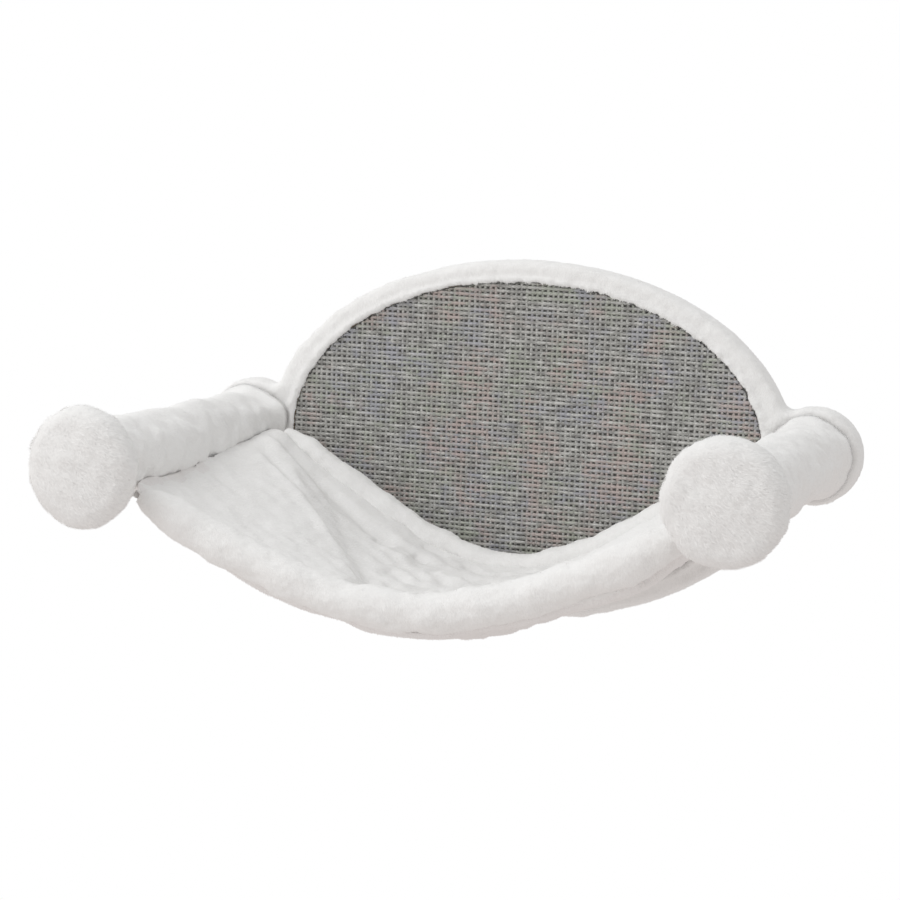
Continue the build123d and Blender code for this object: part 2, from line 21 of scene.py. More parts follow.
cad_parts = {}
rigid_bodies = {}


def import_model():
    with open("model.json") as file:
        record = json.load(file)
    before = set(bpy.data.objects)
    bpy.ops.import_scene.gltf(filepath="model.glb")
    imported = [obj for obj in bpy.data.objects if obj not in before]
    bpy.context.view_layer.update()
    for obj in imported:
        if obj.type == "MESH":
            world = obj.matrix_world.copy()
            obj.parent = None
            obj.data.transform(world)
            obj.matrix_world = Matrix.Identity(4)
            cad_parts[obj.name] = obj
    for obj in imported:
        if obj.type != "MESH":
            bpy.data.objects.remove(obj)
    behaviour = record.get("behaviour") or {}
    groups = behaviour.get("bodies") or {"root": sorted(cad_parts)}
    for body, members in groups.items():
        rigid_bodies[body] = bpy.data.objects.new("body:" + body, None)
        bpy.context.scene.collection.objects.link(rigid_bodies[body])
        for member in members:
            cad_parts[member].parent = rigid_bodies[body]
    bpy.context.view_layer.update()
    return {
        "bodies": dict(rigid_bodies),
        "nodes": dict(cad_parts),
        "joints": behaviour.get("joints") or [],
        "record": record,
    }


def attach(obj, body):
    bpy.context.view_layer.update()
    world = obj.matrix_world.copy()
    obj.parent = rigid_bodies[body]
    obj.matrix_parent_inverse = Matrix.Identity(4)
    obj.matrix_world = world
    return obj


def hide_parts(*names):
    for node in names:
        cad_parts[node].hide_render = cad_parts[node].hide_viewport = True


LOG = logging.getLogger("hammock")

SIDES: dict[str, int] = {"left": -1, "right": 1}
MM = 0.001
POST_X = 0.226
WELD = 0.00001

Colour = tuple[float, float, float]
Array = np.ndarray
Places = Callable[[Array, Array], Array]


class Value:
    """One output socket in a node board, with the arithmetic that Python writes for it."""

    def __init__(self, board: "Board", socket: bpy.types.NodeSocket) -> None:
        """Wraps a socket.

        Args:
            board: the board that adds the nodes for each sum.
            socket: the output that holds the number, colour or vector.
        """
        self.board = board
        self.socket = socket

    def _maths(self, operation: str, *values: "Input") -> "Value":
        """Returns a Math node's result over these values."""
        return self.board.node("ShaderNodeMath", {"operation": operation}, dict(enumerate(values))).out()

    def __add__(self, other: "Input") -> "Value":
        """Returns the sum."""
        return self._maths("ADD", self, other)

    __radd__ = __add__

    def __sub__(self, other: "Input") -> "Value":
        """Returns the difference."""
        return self._maths("SUBTRACT", self, other)

    def __rsub__(self, other: "Input") -> "Value":
        """Returns the difference, taken from the other value."""
        return self._maths("SUBTRACT", other, self)

    def __mul__(self, other: "Input") -> "Value":
        """Returns the product."""
        return self._maths("MULTIPLY", self, other)

    __rmul__ = __mul__

    def clamped(self) -> "Value":
        """Returns the value held between 0 and 1."""
        return self._maths("MINIMUM", self._maths("MAXIMUM", self, 0.0), 1.0)

    def step(self, low: float, high: float) -> "Value":
        """Eases this value from 0 to 1.

        Args:
            low: the value up to which the result is 0.
            high: the value from which the result is 1.

        Returns:
            The eased value.
        """
        settings = {"interpolation_type": "SMOOTHSTEP"}
        values = {0: self, 1: low, 2: high, 3: 0.0, 4: 1.0}
        return self.board.node("ShaderNodeMapRange", settings, values).out()


Input = Union[Value, float, Sequence[float]]


@dataclass
class Made:
    """A node that has been added, with its outputs at hand."""

    board: "Board"
    node: bpy.types.Node

    def out(self, name: Union[str, int] = 0) -> Value:
        """Returns one of the node's outputs."""
        return Value(self.board, self.node.outputs[name])


class Board:
    """A material's or a modifier's node tree that is being filled."""

    def __init__(self, tree: bpy.types.NodeTree) -> None:
        """Starts on an empty tree.

        Args:
            tree: the tree that gets the nodes.
        """
        self.tree = tree

    def node(
        self,
        kind: str,
        settings: dict[str, object] | None = None,
        values: dict[Union[str, int], Input] | None = None,
    ) -> Made:
        """Adds any node.

        Args:
            kind: the node's type.
            settings: its own settings, set first; a list of stops under "stops" fills a colour ramp.
            values: what goes to each input, by name or number: a link or a plain value.

        Returns:
            The node with its outputs.
        """
        node = self.tree.nodes.new(kind)
        for name, value in (settings or {}).items():
            if name == "stops":
                ramp = node.color_ramp
                while len(ramp.elements) < len(value):
                    ramp.elements.new(0.5)
                for element, (place, colour) in zip(ramp.elements, value):
                    element.position = place
                    element.color = (*colour, 1.0)
            else:
                setattr(node, name, value)
        for name, value in (values or {}).items():
            socket = node.inputs[name]
            if isinstance(value, Value):
                self.tree.links.new(value.socket, socket)
            elif isinstance(value, (tuple, list)) and socket.type == "RGBA":
                socket.default_value = (*value, 1.0)[:4]
            else:
                socket.default_value = value
        return Made(self, node)

    def place(self, scale: Sequence[float] = (1.0, 1.0, 1.0), shift: float = 0.0) -> Value:
        """Reads the place on a piece, by its Object coordinates.

        Args:
            scale: what each axis is multiplied by.
            shift: how far the result is then moved, alike along all three axes.

        Returns:
            The place.
        """
        where = self.node("ShaderNodeTexCoord").out("Object")
        values = {"Vector": where, "Location": (shift, shift, shift), "Scale": tuple(scale)}
        return self.node("ShaderNodeMapping", {}, values).out()

    def seen(self) -> Value:
        """Tells what the camera sees, plainly or through gloss or glass, from what only lights the object.

        Returns:
            1 for what is seen and 0 for the rest.
        """
        path = self.node("ShaderNodeLightPath")
        rays = path.out("Is Camera Ray") + path.out("Is Glossy Ray") + path.out("Is Transmission Ray")
        return rays.clamped()

    def attribute(self, name: str, kind: str = "FLOAT_VECTOR") -> Value:
        """Returns what a mesh keeps under a name."""
        return self.node("GeometryNodeInputNamedAttribute", {"data_type": kind}, {"Name": name}).out(0)

    def noise(self, where: Value, scale: float, detail: float = 2.0, rough: float = 0.5) -> Value:
        """Returns a noise texture's number at a place."""
        values = {"Vector": where, "Scale": scale, "Detail": detail, "Roughness": rough}
        return self.node("ShaderNodeTexNoise", {}, values).out(0)

    def mix(self, share: Input, first: Input, second: Input) -> Value:
        """Returns a mix of two colours."""
        values = {0: share, 6: first, 7: second}
        return self.node("ShaderNodeMix", {"data_type": "RGBA"}, values).out(2)

    def bump(self, height: Input, strength: float, depth: float) -> Value:
        """Returns a normal that follows a height."""
        values = {"Height": height, "Strength": strength, "Distance": depth}
        return self.node("ShaderNodeBump", {}, values).out()


def emptied(owner: Union[bpy.types.Material, bpy.types.World]) -> Board:
    """Clears the nodes of a material or of the surroundings.

    Args:
        owner: the material or the surroundings.

    Returns:
        Its node board, with nothing on it.
    """
    owner.use_nodes = True
    owner.node_tree.nodes.clear()
    return Board(owner.node_tree)


def new_material(name: str, constants: dict[str, object]) -> tuple[bpy.types.Material, Board, Made]:
    """Starts a material with one Principled shader.

    Args:
        name: the material's name.
        constants: plain values for the shader's own sockets.

    Returns:
        The material, its board and its shader.
    """
    material = bpy.data.materials.new(name)
    board = emptied(material)
    shader = board.node("ShaderNodeBsdfPrincipled", {}, constants)
    board.node("ShaderNodeOutputMaterial", {}, {"Surface": shader.out()})
    return material, board, shader


def link(board: Board, value: Value, shader: Made, name: str) -> None:
    """Feeds a value to one of the shader's sockets."""
    board.tree.links.new(value.socket, shader.node.inputs[name])


@dataclass(frozen=True)
class PlushFinish:
    """The short woven ground of a plush, seen between the tufts of its pile."""

    name: str
    light: Colour = (0.92, 0.915, 0.905)
    shade: Colour = (0.85, 0.842, 0.83)
    rough: float = 0.95
    patch_scale: float = 28.0
    clump_scale: float = 260.0
    clump_depth: float = 0.0006

    def make(self) -> bpy.types.Material:
        """Makes the material.

        Returns:
            Soft patches of tone and a clumped bump.
        """
        material, board, shader = new_material(
            self.name, {"Roughness": self.rough, "Specular IOR Level": 0.1, "Sheen Weight": 0.25}
        )
        where = board.place()
        patch = board.noise(where, self.patch_scale, 3.0).step(0.35, 0.65)
        clump = board.noise(where, self.clump_scale, 3.0, 0.6)
        tone = (patch * 0.6 + clump.step(0.3, 0.7) * 0.4).clamped()
        link(board, board.mix(tone, self.shade, self.light), shader, "Base Color")
        link(board, board.bump(clump, 0.6, self.clump_depth), shader, "Normal")
        return material


@dataclass(frozen=True)
class PileFinish:
    """The fibres that stand on a plush."""

    name: str
    colour: Colour = (0.93, 0.925, 0.915)
    rough: float = 0.9

    def make(self) -> bpy.types.Material:
        """Returns the material, even all over, because its variation is in the tufts themselves."""
        constants = {"Base Color": self.colour, "Roughness": self.rough, "Specular IOR Level": 0.0}
        return new_material(self.name, constants)[0]


@dataclass(frozen=True)
class YarnFinish:
    """A mixed grey yarn with darker and lighter lengths and flecks of pink and blue."""

    name: str
    dark: Colour = (0.29, 0.284, 0.272)
    middle: Colour = (0.45, 0.447, 0.427)
    light: Colour = (0.64, 0.634, 0.61)
    pink: Colour = (0.54, 0.445, 0.42)
    blue: Colour = (0.425, 0.427, 0.475)
    green: Colour = (0.44, 0.465, 0.395)
    along: Sequence[float] = (90.0, 150.0, 260.0)

    def make(self) -> bpy.types.Material:
        """Makes the material.

        Returns:
            Lengths of colour that run along the yarn, with a fine bump.
        """
        material, board, shader = new_material(self.name, {"Roughness": 0.88, "Specular IOR Level": 0.15})
        streak = board.noise(board.place(self.along), 1.0, 3.0, 0.6)
        fibre = board.noise(board.place(), 900.0, 2.0)
        tone = (streak * 0.8 + fibre * 0.2).step(0.34, 0.68)
        ramp = [(0.0, self.dark), (0.45, self.middle), (1.0, self.light)]
        colour = board.node("ShaderNodeValToRGB", {"stops": ramp}, {0: tone}).out(0)
        for tint, shift in ((self.green, 13.3), (self.blue, 7.7), (self.pink, 3.1)):
            area = board.noise(board.place((30.0, 30.0, 30.0), shift), 1.0, 2.0).step(0.47, 0.62)
            fleck = board.noise(board.place(self.along, shift), 0.8, 2.0, 0.5).step(0.42, 0.6)
            colour = board.mix(area * fleck * 0.75, colour, tint)
        link(board, colour, shader, "Base Color")
        link(board, board.bump(fibre, 0.6, 0.0003), shader, "Normal")
        return material


@dataclass(frozen=True)
class GrainFinish:
    """A dull natural stuff such as fibreboard, turned wood, wound board or foam."""

    name: str
    light: Colour
    dark: Colour
    stretch: Sequence[float] = (1.0, 1.0, 1.0)
    scale: float = 120.0
    rough: float = 0.8

    def make(self) -> bpy.types.Material:
        """Makes the material.

        Returns:
            Streaks or flecks of two tones, with a fine bump.
        """
        constants = {"Roughness": self.rough, "Specular IOR Level": 0.25}
        material, board, shader = new_material(self.name, constants)
        where = board.place(self.stretch)
        coarse = board.noise(where, self.scale, 4.0, 0.6)
        fine = board.noise(where, self.scale * 6, 2.0, 0.6)
        tone = (coarse * 0.7 + fine * 0.3).step(0.35, 0.65)
        link(board, board.mix(tone, self.dark, self.light), shader, "Base Color")
        link(board, board.bump(fine, 0.4, 0.0003), shader, "Normal")
        return material


@dataclass(frozen=True)
class SteelFinish:
    """Plated steel with fine scratches along one direction."""

    name: str
    colour: Colour = (0.62, 0.63, 0.64)
    rough: float = 0.34
    stretch: Sequence[float] = (1.0, 1.0, 12.0)

    def make(self) -> bpy.types.Material:
        """Makes the material.

        Returns:
            Metal with cloudy roughness and faint scratches.
        """
        material, board, shader = new_material(self.name, {"Metallic": 1.0})
        scratch = board.noise(board.place(self.stretch), 420.0, 3.0, 0.6)
        cloud = board.noise(board.place(), 180.0, 2.0)
        darker = tuple(0.82 * channel for channel in self.colour)
        link(board, board.mix(cloud.step(0.35, 0.65), darker, self.colour), shader, "Base Color")
        link(board, (cloud * 0.12 + scratch * 0.14 + (self.rough - 0.13)).clamped(), shader, "Roughness")
        link(board, board.bump(scratch, 0.15, 0.0001), shader, "Normal")
        return material


class Stock:
    """All the finishes of the hammock, each made once."""

    def __init__(self) -> None:
        """Makes every material."""
        self.plush = PlushFinish("plush_ground").make()
        # The pad's underside fabric: a darker, warmer copy of the plush that paints the shade under the
        # sling and the warm bounce from below.
        self.shaded_lining = PlushFinish("shaded_lining_ground", (0.88, 0.86, 0.85), (0.81, 0.785, 0.775)).make()
        self.pile = PileFinish("plush_pile").make()
        # Its pile, likewise painted darker and warmer as shade under the sling.
        self.shaded_lining_pile = PileFinish("shaded_lining_pile", (0.90, 0.882, 0.872)).make()
        self.weft = YarnFinish("mat_weft").make()
        self.warp = YarnFinish("mat_warp", along=(260.0, 150.0, 90.0)).make()
        # The mat's backing, painted dark grey: painted shade deep in the holes of the weave.
        self.backing = GrainFinish(
            "mat_backing", (0.24, 0.235, 0.225), (0.16, 0.156, 0.15), scale=300.0, rough=0.95
        ).make()
        self.board = GrainFinish(
            "fibreboard", (0.47, 0.33, 0.19), (0.36, 0.245, 0.135), scale=240.0, rough=0.7
        ).make()
        self.wood = GrainFinish(
            "turned_wood", (0.62, 0.46, 0.29), (0.47, 0.33, 0.19), (1.0, 0.12, 1.0), 200.0
        ).make()
        self.tube = GrainFinish(
            "wound_board", (0.76, 0.74, 0.70), (0.68, 0.66, 0.61), (1.0, 0.4, 1.0), 160.0
        ).make()
        self.foam = GrainFinish(
            "foam", (0.86, 0.84, 0.76), (0.74, 0.72, 0.63), scale=500.0, rough=0.95
        ).make()
        self.zinc = SteelFinish("zinc_plate", (0.66, 0.67, 0.68), 0.36).make()
        self.steel = SteelFinish("screw_steel", (0.55, 0.55, 0.56), 0.3).make()


def deselect() -> None:
    """Leaves nothing selected."""
    if bpy.context.mode != "OBJECT":
        bpy.ops.object.mode_set(mode="OBJECT")
    bpy.ops.object.select_all(action="DESELECT")


def select(piece: bpy.types.Object) -> None:
    """Makes a piece the only selected and the active one.

    Args:
        piece: the piece.
    """
    deselect()
    piece.select_set(True)
    bpy.context.view_layer.objects.active = piece


@contextmanager
def editing(piece: bpy.types.Object) -> Iterator[None]:
    """Opens a piece for the mesh operators, with all of it selected, and closes it again.

    Args:
        piece: the piece.

    Yields:
        Nothing, while the piece is open.
    """
    select(piece)
    bpy.ops.object.mode_set(mode="EDIT")
    bpy.ops.mesh.select_all(action="SELECT")
    yield
    bpy.ops.object.mode_set(mode="OBJECT")


def added(name: str) -> bpy.types.Object:
    """Names the piece that an operator has just added and puts its place into its mesh.

    Args:
        name: the piece's name.

    Returns:
        The piece.
    """
    piece = bpy.context.active_object
    piece.name = name
    piece.data.name = name
    bpy.ops.object.transform_apply(location=True, rotation=True, scale=True)
    return piece


def apply(piece: bpy.types.Object, kind: str, **settings: object) -> None:
    """Adds a modifier to a piece and applies it.

    Args:
        piece: the piece to change.
        kind: the modifier's type.
        settings: the modifier's own settings.
    """
    select(piece)
    modifier = piece.modifiers.new(kind.lower(), kind)
    for name, value in settings.items():
        setattr(modifier, name, value)
    bpy.ops.object.modifier_apply(modifier=modifier.name)


def points_of(piece: bpy.types.Object) -> Array:
    """Reads where a piece's vertices are.

    Args:
        piece: the piece.

    Returns:
        Their places, one row each.
    """
    found = np.empty(len(piece.data.vertices) * 3)
    piece.data.vertices.foreach_get("co", found)
    return found.reshape(-1, 3)


def normals_of(piece: bpy.types.Object) -> Array:
    """Reads the normals at a piece's vertices.

    Args:
        piece: the piece.

    Returns:
        The normals, one row each.
    """
    found = np.empty(len(piece.data.vertices) * 3, np.float32)
    piece.data.vertex_normals.foreach_get("vector", found)
    return found.reshape(-1, 3).astype(float)


def put_points(piece: bpy.types.Object, points: Array) -> None:
    """Moves a piece's vertices to these places."""
    piece.data.vertices.foreach_set("co", points.ravel())
    piece.data.update()


def push(piece: bpy.types.Object, amount: Places) -> None:
    """Moves each vertex along its normal by what a function of places and normals gives."""
    points, normals = points_of(piece), normals_of(piece)
    put_points(piece, points + normals * amount(points, normals)[:, None])


def smooth_shaded(piece: bpy.types.Object) -> None:
    """Shades a piece smooth all over."""
    select(piece)
    bpy.ops.object.shade_smooth()


def dressed(piece: bpy.types.Object, *materials: bpy.types.Material) -> bpy.types.Object:
    """Gives a piece its materials.

    Args:
        piece: the piece.
        materials: its materials, in the order of their slots.

    Returns:
        The same piece.
    """
    piece.data.materials.clear()
    for material in materials:
        piece.data.materials.append(material)
    return piece


def copy_of_nodes(name: str, *nodes: str) -> bpy.types.Object:
    """Merges the shapes of some CAD nodes into one new piece.

    Args:
        name: the new piece's name.
        nodes: the nodes' names.

    Returns:
        The new piece.
    """
    made = []
    for node in nodes:
        source = FRAME["nodes"][node]
        twin = source.copy()
        twin.data = source.data.copy()
        for key in list(twin.keys()):
            del twin[key]
        bpy.context.scene.collection.objects.link(twin)
        twin.parent = None
        twin.matrix_world = Matrix.Identity(4)
        twin.hide_render = False
        made.append(twin)
    deselect()
    for twin in made:
        twin.select_set(True)
    bpy.context.view_layer.objects.active = made[0]
    if len(made) > 1:
        bpy.ops.object.join()
    piece = bpy.context.active_object
    piece.name = name
    piece.data.name = name
    piece.modifiers.clear()
    with editing(piece):
        bpy.ops.mesh.remove_doubles(threshold=WELD)
    return piece


def finer(piece: bpy.types.Object, voxel: float, rounds: int = 4, factor: float = 0.5) -> None:
    """Rebuilds a piece as an even skin of small faces, and evens it out.

    Args:
        piece: the piece to rebuild.
        voxel: the size of the new faces.
        rounds: how often it is smoothed.
        factor: how much each smoothing moves.
    """
    apply(piece, "REMESH", mode="VOXEL", voxel_size=voxel, adaptivity=0.0)
    if rounds:
        apply(piece, "SMOOTH", factor=factor, iterations=rounds)


class Ripple:
    """A smooth random field made of waves in seeded directions."""

    def __init__(self, size: float, seed: int, waves: int = 24) -> None:
        """Draws the waves.

        Args:
            size: the distance from one hump to the next.
            seed: which field it is.
            waves: how many waves it adds up.
        """
        source = np.random.default_rng(seed)
        heading = source.normal(size=(waves, 3))
        heading /= np.linalg.norm(heading, axis=1)[:, None]
        length = source.uniform(0.6, 1.5, waves)
        self.heading = heading * (2 * math.pi / (size * length))[:, None]
        self.start = source.uniform(0, 2 * math.pi, waves)
        self.share = math.sqrt(2 / waves)

    def __call__(self, points: Array) -> Array:
        """Returns the field at each point, mostly between -1.5 and 1.5."""
        return self.share * np.sin(points @ self.heading.T + self.start).sum(axis=1)


def eased(value: Array, low: float, high: float) -> Array:
    """Returns a smooth step of a value from 0 at low to 1 at high."""
    share = np.clip((value - low) / (high - low), 0, 1)
    return share * share * (3 - 2 * share)


@dataclass(frozen=True)
class Stroke:
    """A fold or crease drawn on the sling as a line in plan, raised or sunk."""

    line: tuple[tuple[float, float], ...]
    width: float
    height: float

    def lift(self, points: Array, side: int) -> Array:
        """Draws this stroke on one half of the sling.

        Args:
            points: the places.
            side: -1 for the left half and 1 for the right half.

        Returns:
            How far it lifts each place.
        """
        path = np.array(self.line) * MM
        path[:, 0] = np.abs(path[:, 0]) * side
        plan = points[:, :2]
        best = np.full(len(plan), np.inf)
        along = np.zeros(len(plan))
        steps = np.linalg.norm(np.diff(path, axis=0), axis=1)
        total = steps.sum()
        run = 0.0
        for start, end, step in zip(path, path[1:], steps):
            way = (end - start) / step
            t = np.clip((plan - start) @ way, 0, step)
            off = np.linalg.norm(plan - start - t[:, None] * way, axis=1)
            closer = off < best
            best = np.where(closer, off, best)
            along = np.where(closer, (run + t) / total, along)
            run += step
        ends = eased(along, 0.0, 0.12) * (1 - eased(along, 0.82, 1.0))
        bell = np.exp(-((best / (self.width * MM)) ** 2))
        return self.height * MM * bell * (0.25 + 0.75 * ends)


@dataclass
class Pile:
    """The pile of one plush piece: many small tufts that lie along its skin.

    A tuft is a flat lock of fibres, shaded nearly as the skin under it, by an amount that its grain gives.
    Its lean is the share of a right angle between it and the skin's normal, and its stray is how far the
    lay wanders, over a distance. Its outline is in shares of its width across and of its length along.
    Shake turns single tufts, and least and most are the shares of the full size that they are drawn from.
    Closest and crowd are how near tufts may stand and how many are tried, by the spacing.
    """

    name: str
    spacing: float = 0.7 * MM
    length: float = 2.2 * MM
    width: float = 0.75 * MM
    lean: float = 0.82
    outline: Sequence[tuple[float, float]] = ((-0.5, 0.0), (0.5, 0.0), (0.0, 1.0))
    seed: int = 1
    sink: float = 0.3 * MM
    stray: float = 0.15
    curl: float = 0.1
    grain: float = 0.1
    wander: float = 11 * MM
    shake: float = 0.1
    closest: float = 0.75
    crowd: float = 1.6
    least: float = 0.7
    most: float = 1.2

    def tuft(self) -> bpy.types.Object:
        """Makes one tuft.

        Returns:
            The tuft, which stands up along +Z with its foot below the origin and faces +Y.
        """
        deselect()
        bpy.ops.mesh.primitive_circle_add(vertices=len(self.outline), radius=1.0, fill_type="NGON")
        tuft = added(f"{self.name}_tuft")
        across, along = np.array(self.outline)[::-1].T
        bend = -self.curl * self.length * along**2
        high = along * (self.length + self.sink) - self.sink
        put_points(tuft, np.stack([across * self.width, bend, high], axis=1))
        return tuft

    def grow(
        self, skin: bpy.types.Object, lay: Places, much: Places, material: bpy.types.Material
    ) -> bpy.types.Object:
        """Grows the pile on a skin.

        Args:
            skin: the piece that carries the pile.
            lay: gives the direction in which the pile is combed at each place.
            much: gives the share of the full length and density at each place, 0 for none.
            material: the finish of the tufts.

        Returns:
            The pile as a piece of its own.
        """
        points, normals = points_of(skin), normals_of(skin)
        comb = lay(points, normals)
        wander = np.stack([Ripple(self.wander, self.seed + n)(points) for n in range(3)], axis=1)
        comb = comb + self.stray * wander
        comb -= normals * (comb * normals).sum(axis=1)[:, None]
        comb /= np.maximum(np.linalg.norm(comb, axis=1), 1e-9)[:, None]
        heading = normals * math.cos(self.lean * math.pi / 2) + comb * math.sin(self.lean * math.pi / 2)
        share = np.clip(much(points, normals), 0, 1)
        mesh = skin.data
        for name, kind, values in (("heading", "FLOAT_VECTOR", heading), ("share", "FLOAT", share)):
            layer = mesh.attributes.new(name, kind, "POINT")
            kept = "vector" if kind == "FLOAT_VECTOR" else "value"
            layer.data.foreach_set(kept, values.astype(np.float32).ravel())
        tuft = self.tuft()
        select(skin)
        bpy.ops.object.duplicate()
        pile = bpy.context.active_object
        pile.name = self.name
        pile.data.name = self.name
        apply(pile, "NODES", node_group=self.scatter(tuft))
        self.soften(pile)
        for carrier in (skin.data, pile.data):
            for name in ("heading", "share", "ground"):
                if name in carrier.attributes:
                    carrier.attributes.remove(carrier.attributes[name])
        bpy.data.objects.remove(tuft)
        dressed(pile, material)
        pile.visible_shadow = False
        pile.visible_diffuse = False
        LOG.info("%s: %d tuft faces", self.name, len(pile.data.polygons))
        return pile

    def soften(self, pile: bpy.types.Object) -> None:
        """Shades the tufts nearly as the skin under them, as soft fibres are.

        Args:
            pile: the pile.
        """
        under = np.empty(len(pile.data.vertices) * 3, np.float32)
        pile.data.attributes["ground"].data.foreach_get("vector", under)
        under = under.reshape(-1, len(self.outline), 3)
        under = under + np.random.default_rng(self.seed).normal(scale=self.grain, size=(len(under), 1, 3))
        under /= np.linalg.norm(under, axis=2)[:, :, None]
        pile.data.normals_split_custom_set_from_vertices(under.reshape(-1, 3))

    def scatter(self, tuft: bpy.types.Object) -> bpy.types.NodeTree:
        """Builds the nodes that set tufts on a skin.

        Args:
            tuft: the tuft that is repeated.

        Returns:
            The node tree.
        """
        tree = bpy.data.node_groups.new(f"{self.name}_scatter", "GeometryNodeTree")
        tree.interface.new_socket("Skin", in_out="INPUT", socket_type="NodeSocketGeometry")
        tree.interface.new_socket("Pile", in_out="OUTPUT", socket_type="NodeSocketGeometry")
        board = Board(tree)
        skin = board.node("NodeGroupInput").out(0)
        share = board.attribute("share", "FLOAT")
        spread = board.node(
            "GeometryNodeDistributePointsOnFaces",
            {"distribute_method": "POISSON"},
            {
                "Mesh": skin,
                "Distance Min": self.spacing * self.closest,
                "Density Max": self.crowd / self.spacing**2,
                "Density Factor": share.step(0.0, 0.25),
                "Seed": self.seed,
            },
        )
        spots = board.node(
            "GeometryNodeStoreNamedAttribute",
            {"data_type": "FLOAT_VECTOR", "domain": "POINT"},
            {"Geometry": spread.out("Points"), "Name": "ground", "Value": spread.out("Normal")},
        ).out()
        jitter = board.node(
            "FunctionNodeRandomValue",
            {"data_type": "FLOAT_VECTOR"},
            {0: (-self.shake,) * 3, 1: (self.shake,) * 3, "Seed": self.seed + 7},
        ).out(0)
        heading = board.attribute("heading")
        aim = board.node("ShaderNodeVectorMath", {"operation": "ADD"}, {0: heading, 1: jitter}).out()
        turn = board.node("FunctionNodeAlignRotationToVector", {"axis": "Z"}, {"Vector": aim}).out()
        turn = board.node(
            "FunctionNodeAlignRotationToVector",
            {"axis": "Y", "pivot_axis": "Z"},
            {"Rotation": turn, "Vector": board.attribute("ground")},
        ).out()
        size = board.node(
            "FunctionNodeRandomValue",
            {"data_type": "FLOAT"},
            {2: self.least, 3: self.most, "Seed": self.seed + 3},
        ).out(1)
        shape = board.node("GeometryNodeObjectInfo", {"transform_space": "ORIGINAL"}, {"Object": tuft})
        scale = size * (share * 0.65 + 0.35)
        values = {"Points": spots, "Instance": shape.out("Geometry"), "Rotation": turn, "Scale": scale}
        tufts = board.node("GeometryNodeInstanceOnPoints", {}, values).out()
        real = board.node("GeometryNodeRealizeInstances", {}, {0: tufts}).out()
        smooth = board.node("GeometryNodeSetShadeSmooth", {}, {0: real}).out()
        board.node("NodeGroupOutput", {}, {0: smooth})
        return tree


def whole(points: Array, normals: Array) -> Array:
    """Returns a full share of pile everywhere."""
    return np.ones(len(points))


def combed(x: float, y: float, z: float) -> Places:
    """Returns a lay that combs the pile in one direction everywhere."""
    return lambda points, normals: np.tile((x, y, z), (len(points), 1)).astype(float)


@dataclass
class EndDisc:
    """One round padded disc on the end of a post."""

    name: str
    side: int
    back: float = 298 * MM
    skin_inset: float = 1.6 * MM
    face: float = 1.6 * MM
    hump: float = 0.4 * MM
    lump: float = 0.14 * MM
    bit: float = 0.04 * MM
    narrow: dict[str, float] = field(default_factory=lambda: {"left": 0.93, "right": 0.975})
    lift: dict[str, float] = field(default_factory=lambda: {"left": -2 * MM, "right": 2.3 * MM})

    def build(self, stock: Stock) -> list[bpy.types.Object]:
        """Makes the cover and its pile and sets them on the disc's body.

        Args:
            stock: the finishes.

        Returns:
            The cover and its pile.
        """
        nodes = (f"{self.name}_disc_cover", f"{self.name}_disc_padding")
        cover = copy_of_nodes(f"{self.name}_disc_plush", *nodes)
        finer(cover, self.face, 7)
        seed = 30 + self.side
        humps, lumps, bits = Ripple(26 * MM, seed), Ripple(11 * MM, seed + 5), Ripple(5 * MM, seed + 9)
        push(
            cover,
            lambda p, n: -self.skin_inset
            + self.hump * humps(p) * eased(-p[:, 1], self.back + 0.002, self.back + 0.008)
            + (self.lump * lumps(p) + self.bit * bits(p)) * eased(-p[:, 1], self.back, self.back + 0.006),
        )
        points = points_of(cover)
        points[:, 0] = self.side * POST_X + (points[:, 0] - self.side * POST_X) * self.narrow[self.name]
        points[:, 2] += self.lift[self.name] * eased(-points[:, 1], self.back, self.back + 0.008)
        put_points(cover, points)
        smooth_shaded(cover)
        dressed(cover, stock.plush)
        back = self.back + 0.5 * MM
        pile = Pile(
            f"{self.name}_disc_pile",
            length=2.7 * MM,
            width=0.8 * MM,
            lean=0.64,
            seed=seed + 20,
            stray=0.2,
            grain=0.14,
        ).grow(
            cover,
            combed(0.85, 0.38, -0.35),
            lambda p, n: eased(-p[:, 1], back + 0.001, back + 0.006),
            stock.pile,
        )
        body = f"{self.name}_disc"
        for piece in (cover, pile):
            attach(piece, body)
        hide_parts(f"{self.name}_disc_cover", f"{self.name}_disc_padding")
        return [cover, pile]


